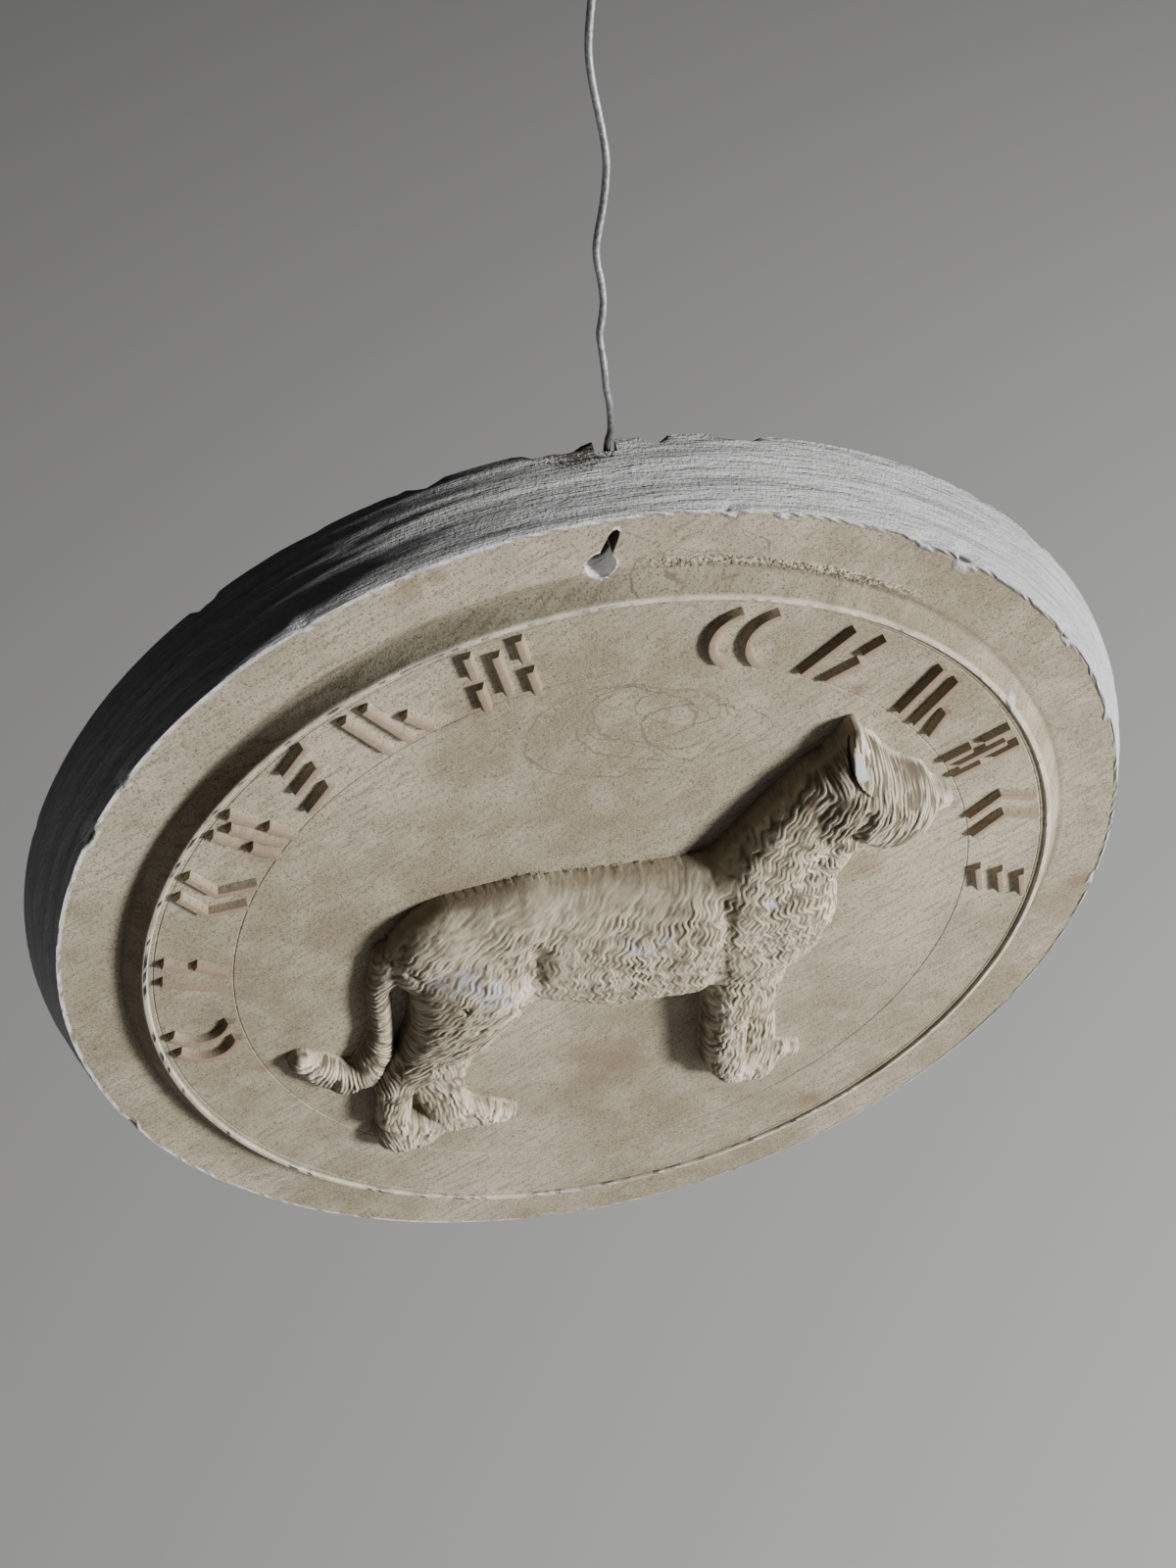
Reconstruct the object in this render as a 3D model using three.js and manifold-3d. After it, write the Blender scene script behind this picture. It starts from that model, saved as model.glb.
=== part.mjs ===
// A round cast plaster plaque: a wire-haired dog in high relief on a raised disc, hung on a steel wire.
// Millimetres, +Z up. The flat back lies on y = 0, centred on the origin, and the front faces -Y.
import * as THREE from 'three';
import { mergeVertices } from 'three/addons/utils/BufferGeometryUtils.js';
import Module from 'manifold-3d';

const wasm = await Module();
wasm.setup();

// The roundel: a flat flange with a flared rim, and a raised disc with a thin lip
const frontDiameter = 300;
const rimFlare = 7;
const flangeThickness = 19.7;
const backArris = 1.5;
const frontArris = 0.6;
const discDiameter = 257;
const discRise = 5.7;
const stepRun = 3.8;
const lipWidth = 1.8;
const lipRise = 0.9;
const rimTurns = 72;
const rimBulge = [0.62, 0.55];
const lipShoulders = [0.3, 0.8];

// The keyhole in the flange: a bored hole, a slot that the wire has cut, and a channel out at the back
const holeDiameter = 8.4;
const holeInset = 14;
const holeSides = 24;
const slotWidth = 3.6;
const slotLength = 7.6;
const slotFloor = 5;
const slotLean = 0.37;
const channelOffset = 5.4;
const channelWidth = 5.4;
const channelDepth = 11;
const channelExit = 3.2;
const channelStart = 10;

// The wire, its hanging eye and the clearance between them
const wireDiameter = 1.7;
const wireSides = 8;
const touchGap = 0.3;
const eyeDiameter = 11.7;
const eyeSteps = 18;
const bindingLength = 6;
const bindingTurns = 3;
const bindingGroove = 0.3;

// The inscription's place: marks of plain raised strokes between two circles
const markHeight = 19.6;
const markMargin = 2.4;
const strokeWidth = 3.2;
const strokeRise = 2.2;
const strokeDraft = 0.6;
const strokeBends = 5;

// The dog: its height from the ground to the withers, where it stands, and how finely it is cut
const dogHeight = 113;
const dogGround = -77;
const carvingStep = 2.5;
const rootDepth = 1.6;
const leastRelief = 0.4;
const edgeRoundness = 0.42;
const edgeFall = 1.5;
const finestDetail = 0.02;
const lockWidth = 6.6;
const lockDepth = 1.1;
const lockWave = 21;
const lockSway = 2.2;
const lockLevel = 0.62;

const frontRadius = frontDiameter / 2;
const backRadius = frontRadius + rimFlare;
const discRadius = discDiameter / 2;
const discTop = flangeThickness + discRise;
const field = discTop - lipRise;

const colours = {
  plaster: { color: 0xb7ab93, roughness: 0.85, metalness: 0 },
  wire: { color: 0x8d9092, roughness: 0.4, metalness: 0.9 },
};

function mesh(name, geometry, finish) {
  const part = new THREE.Mesh(geometry, new THREE.MeshStandardMaterial(colours[finish]));
  part.name = name;
  return part;
}

// Turns a closed geometry into a solid that can be joined and cut
function solid(geometry) {
  const shape = geometry.clone();
  shape.deleteAttribute('normal');
  shape.deleteAttribute('uv');
  const merged = mergeVertices(shape, 1e-4);
  const corners = merged.index.array;
  const kept = [];
  for (let i = 0; i < corners.length; i += 3) {
    const [a, b, c] = [corners[i], corners[i + 1], corners[i + 2]];
    if (a !== b && b !== c && c !== a) kept.push(a, b, c);
  }
  return new wasm.Manifold(new wasm.Mesh({
    numProp: 3,
    vertProperties: new Float32Array(merged.attributes.position.array),
    triVerts: new Uint32Array(kept),
  }));
}

function geometryOf(body) {
  const result = body.getMesh();
  const geometry = new THREE.BufferGeometry();
  geometry.setAttribute('position', new THREE.BufferAttribute(new Float32Array(result.vertProperties), 3));
  geometry.setIndex(new THREE.BufferAttribute(new Uint32Array(result.triVerts), 1));
  return geometry;
}

// The plaster is cut lying on its back, with x to the right, y up the plaque and z out of its front

function roundel() {
  const profile = [
    [0, 0],
    [backRadius - backArris, 0],
    [backRadius, backArris],
    [backRadius - rimFlare * rimBulge[0], flangeThickness * rimBulge[1]],
    [frontRadius, flangeThickness - frontArris],
    [frontRadius - frontArris, flangeThickness],
    [discRadius + stepRun, flangeThickness],
    [discRadius, discTop - lipRise],
    [discRadius - lipWidth * lipShoulders[0], discTop],
    [discRadius - lipWidth * lipShoulders[1], discTop],
    [discRadius - lipWidth, field],
    [0, field],
  ];
  const points = profile.map(([r, z]) => new THREE.Vector2(r, z));
  return solid(new THREE.LatheGeometry(points, rimTurns).rotateX(Math.PI / 2));
}

// A block of plaster to cut away, standing between two heights above the back
function block(width, length, low, high, x, y, turn = 0) {
  const box = new THREE.BoxGeometry(width, length, high - low);
  box.rotateZ(turn);
  box.translate(x, y, (low + high) / 2);
  return solid(box);
}

function cutKeyhole(body) {
  const holeY = frontRadius - holeInset;
  const through = 2 * flangeThickness;
  const bore = new THREE.CylinderGeometry(holeDiameter / 2, holeDiameter / 2, through, holeSides);
  bore.rotateX(Math.PI / 2).translate(0, holeY, flangeThickness / 2);
  const slotReach = holeDiameter / 2 + slotLength;
  const slotX = (slotReach / 2) * Math.sin(slotLean);
  const slotY = holeY + (slotReach / 2) * Math.cos(slotLean);
  const slot = block(slotWidth, slotReach, slotFloor, through, slotX, slotY, -slotLean);
  const channel = wireChannel().translate(channelOffset - channelWidth / 2, 0, 0);
  return body.subtract(solid(bore)).subtract(slot).subtract(solid(channel));
}

// The channel from the slot out at the back, shallower where it leaves the rim
function wireChannel() {
  const side = new THREE.Shape([
    new THREE.Vector2(frontRadius - channelStart, -backArris), new THREE.Vector2(backRadius, -backArris),
    new THREE.Vector2(backRadius + backArris, channelExit), new THREE.Vector2(backRadius, channelExit),
    new THREE.Vector2(frontRadius - channelStart / 2, channelDepth),
    new THREE.Vector2(frontRadius - channelStart, channelDepth),
  ]);
  const channel = new THREE.ExtrudeGeometry(side, { depth: channelWidth, bevelEnabled: false });
  return channel.applyMatrix4(new THREE.Matrix4().makeBasis(
    new THREE.Vector3(0, 1, 0), new THREE.Vector3(0, 0, 1), new THREE.Vector3(1, 0, 0)));
}

// Knocks along the edges: [edge, bearing in degrees, length along the edge, depth]
const chips = [
  ['rim', 78, 5, 1.2], ['rim', 73, 3.5, 0.9], ['rim', 57, 4, 1], ['rim', 51.5, 7, 1.5], ['rim', 34, 5, 1.4],
  ['rim', 20, 4, 0.9], ['rim', 143, 5, 1.2], ['rim', 151, 8, 1.6], ['rim', 118, 5, 1], ['rim', 200, 6, 1.1],
  ['rim', 262, 7, 1.2], ['rim', 352, 5, 1.1],
  ['back', 92.5, 16, 1.7], ['back', 83.5, 5, 2.6], ['back', 76, 14, 1.5], ['back', 104, 8, 1.2],
  ['back', 40, 8, 1.2], ['back', 126, 10, 1.2], ['back', 215, 12, 2], ['back', 300, 10, 1.8],
  ['lip', 268, 11, 0.9], ['lip', 245, 8, 0.8], ['lip', 32, 5, 0.6],
];

function knockChips(body) {
  const edges = {
    rim: [frontRadius, flangeThickness],
    back: [backRadius, 0],
    lip: [discRadius, discTop],
  };
  let left = body;
  for (const [edge, bearing, length, depth] of chips) {
    const [radius, height] = edges[edge];
    const angle = THREE.MathUtils.degToRad(bearing);
    const flake = new THREE.IcosahedronGeometry(1, 0);
    flake.scale(depth, length / 2, depth).rotateZ(angle);
    flake.translate(radius * Math.cos(angle), radius * Math.sin(angle), height);
    left = left.subtract(solid(flake));
  }
  return left;
}

// Each kind of mark is a few strokes, as shares of the mark's width and height: two ends, or an arc's
// middle, radius and two bearings in degrees
const marks = {
  hooks: { bars: [
    [0.12, 0.5, 0.4, 0.98], [0.12, 0.5, 0.4, 0.02], [0.56, 0.5, 0.84, 0.98], [0.56, 0.5, 0.84, 0.02],
  ] },
  shells: { arcs: [[0.72, 0.5, 0.46, 112, 248], [1.18, 0.5, 0.46, 112, 248]] },
  rain: { bars: [[0.06, 0.06, 0.3, 0.94], [0.42, 0.06, 0.66, 0.5], [0.62, 0.62, 0.76, 0.94]] },
  fence: { bars: [
    [0.16, 0, 0.16, 0.42], [0.16, 0.6, 0.16, 1], [0.5, 0.14, 0.5, 0.86], [0.84, 0, 0.84, 0.42],
    [0.84, 0.6, 0.84, 1],
  ] },
  steps: { bars: [[0.02, 0.1, 0.62, 0.22], [0.2, 0.46, 0.8, 0.58], [0.38, 0.82, 0.98, 0.94]] },
  rails: { bars: [[0.2, 0.08, 0.02, 0.94], [0.56, 0.08, 0.38, 0.94], [0.92, 0.08, 0.74, 0.5]] },
};

// Where each mark stands round the disc, as a bearing in degrees, with its kind and its width
const inscription = [
  [186.5, 'shells', 17], [170, 'rain', 17], [154.5, 'hooks', 18], [142.5, 'fence', 12], [131, 'steps', 17],
  [118, 'rails', 17], [103, 'fence', 19],
  [74.5, 'shells', 21], [57, 'rain', 21], [40, 'rails', 20], [26.5, 'fence', 11], [12.5, 'hooks', 19],
  [-3, 'steps', 16],
];

// A raised stroke with its sides drawn in a little towards the top
function stroke(outline) {
  return new THREE.ExtrudeGeometry(outline, {
    depth: strokeRise - strokeDraft,
    bevelEnabled: true,
    bevelThickness: strokeDraft,
    bevelSize: strokeDraft,
    bevelOffset: -strokeDraft,
    bevelSegments: 1,
    curveSegments: strokeBends,
  });
}

function bar(x0, y0, x1, y1) {
  const along = new THREE.Vector2(x1 - x0, y1 - y0).normalize();
  const side = new THREE.Vector2(-along.y, along.x).multiplyScalar(strokeWidth / 2);
  const outline = new THREE.Shape([
    new THREE.Vector2(x0 - side.x, y0 - side.y), new THREE.Vector2(x1 - side.x, y1 - side.y),
    new THREE.Vector2(x1 + side.x, y1 + side.y), new THREE.Vector2(x0 + side.x, y0 + side.y),
  ]);
  return stroke(outline);
}

function arc(x, y, radius, from, to) {
  const [start, end] = [THREE.MathUtils.degToRad(from), THREE.MathUtils.degToRad(to)];
  const outline = new THREE.Shape();
  outline.absarc(x, y, radius + strokeWidth / 2, start, end, false);
  outline.absarc(x, y, radius - strokeWidth / 2, end, start, true);
  return stroke(outline);
}

function addInscription(body) {
  const foot = discRadius - lipWidth - markMargin - markHeight;
  let whole = body;
  for (const [bearing, kind, width] of inscription) {
    const { bars = [], arcs = [] } = marks[kind];
    const strokes = [
      ...bars.map(([x0, y0, x1, y1]) =>
        bar((x0 - 0.5) * width, y0 * markHeight, (x1 - 0.5) * width, y1 * markHeight)),
      ...arcs.map(([x, y, radius, from, to]) =>
        arc((x - 0.5) * width, y * markHeight, radius * markHeight, from, to)),
    ];
    for (const one of strokes) {
      one.translate(0, foot, field - strokeDraft).rotateZ(THREE.MathUtils.degToRad(bearing - 90));
      whole = whole.add(solid(one));
    }
  }
  return whole;
}

// The dog's parts, in percent of its height: stations of [x, height above the ground, radius, rise]
// along each part, its fullness (how square its section is) and the way its coat lies, in degrees
const dog = {
  trunk: {
    stations: [[-36.4, 77.6, 19, 11.5], [-20.8, 78.5, 19.8, 12.5], [1.4, 72.8, 22.8, 14.5],
      [17.6, 72.5, 22.2, 16], [35.6, 74, 21.7, 15]],
    fullness: 2.3,
    lie: 90,
  },
  neck: {
    stations: [[37.8, 85.8, 16.3, 13.5], [48.9, 103.2, 14.4, 12.5], [55.2, 111.8, 13.6, 12.5]],
    fullness: 3,
    lie: 66,
  },
  head: {
    stations: [[56.9, 132.3, 1.6, 6], [57, 121.5, 7.4, 11.5], [57.9, 113.8, 12.6, 14.2]],
    fullness: 2.8,
    lie: 58,
  },
  brow: {
    stations: [[59, 123.3, 4.7, 8.2], [64.5, 116.1, 3.8, 8.8], [72.3, 110.8, 4.3, 8.4]],
    fullness: 2.6,
    lie: 90,
  },
  muzzle: { stations: [[59.5, 108.5, 12.6, 13.5], [68, 103.9, 11.2, 12]], fullness: 2.8, lie: 62 },
  nose: { stations: [[75.7, 104.2, 4.9, 8.7], [81.1, 103.8, 2.7, 7.3]], fullness: 2.4, lie: 80 },
  ear: {
    stations: [[56.9, 131.2, 1.6, 8.6], [56.6, 124.5, 2.3, 13.4], [57.6, 120.4, 1.7, 15]],
    fullness: 4,
    lie: 90,
  },
  foreleg: {
    stations: [[37.4, 65.9, 14, 13.3], [30.9, 52, 8.4, 12.4], [29.8, 36.5, 6.2, 11.5], [29.6, 13.9, 6, 9.7]],
    fullness: 2.7,
    lie: 90,
  },
  forepaw: { stations: [[31.7, 8.4, 5.8, 8.4], [37.8, 6.3, 7.8, 6.8]], fullness: 2.4, lie: 75 },
  farForeleg: {
    stations: [[41.4, 51.9, 6.2, 5.3], [39.6, 32.8, 4, 5], [40.6, 15, 4.3, 4.6]],
    fullness: 2.6,
    lie: 90,
  },
  farForepaw: { stations: [[42, 9.3, 3.6, 4], [49, 7.2, 2.8, 3.8]], fullness: 2.4, lie: 75 },
  thigh: {
    stations: [[-34.1, 67.6, 18, 15], [-40.7, 51.1, 11.7, 12.4], [-49, 39.4, 7.7, 9.7],
      [-56.5, 30.2, 6.1, 8]],
    fullness: 2.7,
    lie: 54,
  },
  hock: { stations: [[-57.4, 30, 5.4, 8], [-58.8, 15, 5.1, 7.5]], fullness: 2.6, lie: 75 },
  hindPaw: { stations: [[-56.8, 5.6, 7.9, 7], [-53.1, 5.2, 7.2, 6.2]], fullness: 2.4, lie: 85 },
  farHindLeg: {
    stations: [[-42.3, 39.5, 8.3, 6.2], [-46.5, 25.1, 7.1, 5.4], [-44.2, 13.8, 5.8, 5.4]],
    fullness: 2.6,
    lie: 115,
  },
  farHindPaw: { stations: [[-39.7, 4.3, 4.9, 4.2], [-29.2, 3.2, 3, 3.6]], fullness: 2.4, lie: 140 },
};

const tail = {
  stations: [[-53, 78.3, 5.8, 6.2], [-57.9, 68.5, 3, 5.4], [-58.4, 51.8, 3.1, 5.2], [-60.2, 42.8, 4.3, 5.6],
    [-63.9, 34.9, 4.6, 5.8], [-70, 34, 4.8, 6], [-75.8, 40, 4.6, 5.8], [-79.5, 43.7, 3.4, 4.6]],
  fullness: 2.4,
};

// Folds pressed into the coat: [x and height of both ends, half width, depth]
const folds = [
  [25.5, 88, 25, 62, 2.4, 1.5], [-20, 82, -22.5, 63, 2.6, 1.4], [58.4, 113.3, 56.6, 103.5, 1.8, 1.8],
  [56.6, 103.5, 60.6, 97.3, 1.6, 1.9], [54.4, 131, 54.6, 123.5, 1.3, 2.2], [46, 92, 55.8, 106.2, 2.7, 1.2],
];

const percent = dogHeight / 100;

// The nearest place on a part to a point: its distance, radius and rise there, and the way along
function nearest(stations, x, z) {
  let best = null;
  let walked = 0;
  for (let i = 1; i < stations.length; i += 1) {
    const [ax, az, ar, ah] = stations[i - 1];
    const [bx, bz, br, bh] = stations[i];
    const length = Math.hypot(bx - ax, bz - az);
    const share = THREE.MathUtils.clamp(((x - ax) * (bx - ax) + (z - az) * (bz - az)) / length ** 2, 0, 1);
    const [nearX, nearZ] = [THREE.MathUtils.lerp(ax, bx, share), THREE.MathUtils.lerp(az, bz, share)];
    const radius = THREE.MathUtils.lerp(ar, br, share);
    const depth = Math.hypot(x - nearX, z - nearZ) / radius;
    if (!best || depth < best.depth) {
      best = { depth, radius, rise: THREE.MathUtils.lerp(ah, bh, share), along: walked + share * length };
    }
    walked += length;
  }
  return best;
}

// How high a part stands: steep at its edge and rounded on top, and sunk below the field outside
function swelling({ stations, fullness }, x, z) {
  const spot = nearest(stations, x, z);
  const inside = 1 - spot.depth ** fullness;
  const height = inside > 0 ? spot.rise * inside ** edgeRoundness : edgeFall * (1 - spot.depth) * spot.radius;
  return { height: height * percent, along: spot.along * percent };
}

// A wavy lock's section across its width: a rounded ridge with a narrow groove on each side
function lock(across, along, strength) {
  const swayed = across + lockSway * Math.sin((2 * Math.PI * along) / lockWave);
  return strength * lockDepth * (Math.abs(Math.sin((Math.PI * swayed) / lockWidth)) - lockLevel);
}

// The dog's surface above the field at a point of the plaque
function dogSurface(x, y) {
  const px = x / percent;
  const pz = (y - dogGround) / percent;
  let height = -rootDepth;
  let lie = 90;
  for (const part of Object.values(dog)) {
    const here = swelling(part, px, pz).height;
    if (here > height) {
      height = here;
      lie = part.lie;
    }
  }
  const brush = swelling(tail, px, pz);
  const brushed = brush.height > height;
  height = Math.max(height, brush.height);
  if (height <= 0) return Math.max(height, -rootDepth);
  const strength = THREE.MathUtils.smoothstep(height, 1, 5);
  const angle = THREE.MathUtils.degToRad(lie);
  const across = x * Math.sin(angle) - y * Math.cos(angle);
  const along = x * Math.cos(angle) + y * Math.sin(angle);
  height += brushed ? lock(brush.along, 0, strength) : lock(across, along, strength);
  for (const [ax, az, bx, bz, width, depth] of folds) {
    const share = THREE.MathUtils.clamp(
      ((px - ax) * (bx - ax) + (pz - az) * (bz - az)) / ((bx - ax) ** 2 + (bz - az) ** 2), 0, 1);
    const [nearX, nearZ] = [THREE.MathUtils.lerp(ax, bx, share), THREE.MathUtils.lerp(az, bz, share)];
    const off = Math.hypot(px - nearX, pz - nearZ);
    height -= depth * percent * Math.exp(-((off / width) ** 2));
  }
  return Math.max(height, leastRelief);
}

// A closed block whose top is the dog's surface and whose foot is sunk in the disc
function dogBlock() {
  const outline = new THREE.Box2();
  for (const [x, z, radius] of [...Object.values(dog), tail].flatMap((part) => part.stations)) {
    outline.expandByPoint(new THREE.Vector2(x - radius, z - radius));
    outline.expandByPoint(new THREE.Vector2(x + radius, z + radius));
  }
  const low = outline.min.multiplyScalar(percent).subScalar(carvingStep);
  const high = outline.max.multiplyScalar(percent).addScalar(carvingStep);
  const columns = Math.round((high.x - low.x) / carvingStep);
  const rows = Math.round((high.y - low.y) / carvingStep);
  const places = [];
  const faces = [];
  const at = (i, j) => j * (columns + 1) + i;
  for (let j = 0; j <= rows; j += 1) {
    for (let i = 0; i <= columns; i += 1) {
      const x = low.x + i * carvingStep;
      const y = dogGround + low.y + j * carvingStep;
      places.push(x, y, field + dogSurface(x, y));
    }
  }
  for (let j = 0; j < rows; j += 1) {
    for (let i = 0; i < columns; i += 1) {
      const corners = [at(i, j), at(i + 1, j), at(i + 1, j + 1), at(i, j + 1)];
      const rise = corners.map((n) => places[3 * n + 2]);
      const [a, b, c, d] = corners;
      if (Math.abs(rise[0] - rise[2]) < Math.abs(rise[1] - rise[3])) faces.push(a, b, c, a, c, d);
      else faces.push(a, b, d, b, c, d);
    }
  }
  const border = [];
  for (let i = 0; i < columns; i += 1) border.push(at(i, 0));
  for (let j = 0; j < rows; j += 1) border.push(at(columns, j));
  for (let i = columns; i > 0; i -= 1) border.push(at(i, rows));
  for (let j = rows; j > 0; j -= 1) border.push(at(0, j));
  const foot = places.length / 3;
  for (const n of border) places.push(places[3 * n], places[3 * n + 1], field - 2 * rootDepth);
  const middle = places.length / 3;
  places.push((low.x + high.x) / 2, dogGround + (low.y + high.y) / 2, field - 2 * rootDepth);
  for (let n = 0; n < border.length; n += 1) {
    const next = (n + 1) % border.length;
    faces.push(border[n], foot + n, foot + next, border[n], foot + next, border[next]);
    faces.push(foot + next, foot + n, middle);
  }
  const geometry = new THREE.BufferGeometry();
  geometry.setAttribute('position', new THREE.Float32BufferAttribute(places, 3));
  geometry.setIndex(faces);
  return solid(geometry);
}

function plasterRoundel() {
  const cast = knockChips(cutKeyhole(addInscription(roundel()).add(dogBlock())));
  const part = mesh('plaster_roundel', geometryOf(cast.simplify(finestDetail)), 'plaster');
  part.rotation.x = Math.PI / 2;
  return part;
}

// The wire's route in the part's own frame: its bent end in the slot, out at the back and up to the eye
const wireRoute = [
  [0.9, -15.6, 139.6], [2, -16, 141.8], [3, -14.4, 143.8], [3.7, -11.6, 145], [4.3, -8.6, 146.8],
  [4.9, -5.4, 149.6], [5.5, -3.2, 152.4], [5.9, -1.9, 155], [6.3, -1.5, 157.8], [6.9, -1.7, 160.6],
  [6.8, -2.4, 164.8], [6.3, -3.4, 170.2], [5.4, -4.3, 175.6], [4.9, -5, 181.6],
  [4.3, -5, 187], [3.9, -5, 191.4], [4.5, -5, 195.8],
  [4.8, -5, 200], [4.4, -5, 205], [3.6, -5, 210], [3.4, -5, 213.8], [3.9, -5, 218], [4.8, -5, 223],
  [5.5, -5, 228.6], [5.8, -5, 234], [5.4, -5, 239.4], [4.5, -5, 245], [3.3, -5, 252], [2.5, -5, 258.4],
  [2.5, -5, 264], [3.1, -5, 270.6], [3.4, -5, 276],
];

function hangingWire() {
  const points = wireRoute.map(([x, y, z]) => new THREE.Vector3(x, y, z));
  const curve = new THREE.CatmullRomCurve3(points);
  const section = new THREE.Shape();
  for (let i = 0; i < wireSides; i += 1) {
    const angle = (2 * Math.PI * i) / wireSides;
    const corner = [(wireDiameter / 2) * Math.cos(angle), (wireDiameter / 2) * Math.sin(angle)];
    if (i === 0) section.moveTo(...corner);
    else section.lineTo(...corner);
  }
  const steps = Math.round(curve.getLength() / (2 * wireDiameter));
  return mesh('hanging_wire', new THREE.ExtrudeGeometry(section, { steps, extrudePath: curve }), 'wire');
}

// The eye bent in the wire's upper end, with the wire bound round its own neck below it
function hangingEye() {
  const [x, y, end] = wireRoute[wireRoute.length - 1];
  const turn = bindingLength / bindingTurns;
  const profile = [new THREE.Vector2(0, 0)];
  const outer = 1.5 * wireDiameter;
  for (let i = 0; i < bindingTurns; i += 1) {
    profile.push(new THREE.Vector2(wireDiameter, i * turn));
    profile.push(new THREE.Vector2(outer, (i + bindingGroove) * turn));
    profile.push(new THREE.Vector2(outer, (i + 1 - bindingGroove) * turn));
  }
  profile.push(new THREE.Vector2(wireDiameter, bindingLength), new THREE.Vector2(0, bindingLength));
  const binding = new THREE.LatheGeometry(profile, wireSides).rotateX(Math.PI / 2);
  const bend = (eyeDiameter - wireDiameter) / 2;
  const ring = new THREE.TorusGeometry(bend, wireDiameter / 2, wireSides, eyeSteps);
  ring.rotateX(Math.PI / 2).translate(0, 0, bindingLength + bend - wireDiameter / 2);
  const eye = mesh('hanging_eye', geometryOf(solid(binding).add(solid(ring))), 'wire');
  eye.position.set(x, y, end + touchGap);
  return eye;
}

const plaque = new THREE.Group();
plaque.add(plasterRoundel(), hangingWire(), hangingEye());

export default plaque;
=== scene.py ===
import math

import bmesh
import bpy
import numpy as np
from mathutils import Matrix, Vector


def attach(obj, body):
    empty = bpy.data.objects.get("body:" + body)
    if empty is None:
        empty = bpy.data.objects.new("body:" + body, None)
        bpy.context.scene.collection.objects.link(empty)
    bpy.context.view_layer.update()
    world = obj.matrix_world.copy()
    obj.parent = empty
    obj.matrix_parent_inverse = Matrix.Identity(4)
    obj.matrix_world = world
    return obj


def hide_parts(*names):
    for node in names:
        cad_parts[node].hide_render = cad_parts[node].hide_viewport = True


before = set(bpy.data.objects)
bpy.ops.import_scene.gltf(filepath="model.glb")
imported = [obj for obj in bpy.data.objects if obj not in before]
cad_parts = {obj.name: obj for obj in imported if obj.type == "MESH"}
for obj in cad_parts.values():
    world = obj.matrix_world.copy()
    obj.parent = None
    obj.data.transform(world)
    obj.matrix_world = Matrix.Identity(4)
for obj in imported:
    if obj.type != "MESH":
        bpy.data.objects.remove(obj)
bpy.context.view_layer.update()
MM = 0.001

# The camera stands above and a little to the left of the plaque, looking down on its face. Its place
# and its focal length come from the circles in the picture: 2300 pixels over a frame 1600 pixels high.
CAMERA_PLACE = Vector((-84.3, -401.1, 496.8)) * MM
CAMERA_TURN = math.radians(11.88)
CAMERA_DOWN = math.radians(48.26)
CAMERA_ROLL = math.radians(-1.26)
FOCAL_PIXELS = 2300
FRAME_LONG_SIDE = 1600



def placed(name, data):
    """A new object with this data, put in the scene."""
    made = bpy.data.objects.new(name, data)
    bpy.context.scene.collection.objects.link(made)
    return made


lens = bpy.data.cameras.new("plaque_camera")
lens.sensor_width = 36
lens.lens = lens.sensor_width * FOCAL_PIXELS / FRAME_LONG_SIDE
lens.clip_start = 0.01
camera = placed("plaque_camera", lens)
bpy.context.scene.camera = camera
ahead = Vector((
    math.sin(CAMERA_TURN) * math.cos(CAMERA_DOWN),
    math.cos(CAMERA_TURN) * math.cos(CAMERA_DOWN),
    -math.sin(CAMERA_DOWN),
))
aim = ahead.to_track_quat("-Z", "Y").to_matrix() @ Matrix.Rotation(CAMERA_ROLL, 3, "Z")
camera.matrix_world = Matrix.Translation(CAMERA_PLACE) @ aim.to_4x4()


# The hanging wire is soft galvanised steel, bent by hand, so it has kinks that never came out. Its end
# lies in the slot that it has cut in the plaster, and it leaves the rim at the back and runs up taut.
WIRE_DIAMETER = 1.7 * MM
WIRE_ROUTE = [
    (0.9, -15.6, 139.6), (2, -16, 141.8), (3, -14.4, 143.8), (3.7, -11.6, 145), (4.3, -8.6, 146.8),
    (4.9, -5.4, 149.6), (5.5, -3.2, 152.4), (5.9, -1.9, 155), (6.3, -1.5, 157.8), (6.9, -1.7, 160.6),
    (6.8, -2.4, 164.8), (6.3, -3.4, 170.2), (5.4, -4.3, 175.6), (4.9, -5, 181.6), (4.3, -5, 187),
    (3.9, -5, 191.4), (4.5, -5, 195.8), (4.8, -5, 200), (4.4, -5, 205), (3.6, -5, 210), (3.4, -5, 213.8),
    (3.9, -5, 218), (4.8, -5, 223), (5.5, -5, 228.6), (5.8, -5, 234), (5.4, -5, 239.4), (4.5, -5, 245),
    (3.3, -5, 252), (2.5, -5, 258.4), (2.5, -5, 264), (3.1, -5, 270.6), (3.4, -5, 276),
]
STEPS_PER_SPAN = 6


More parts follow.
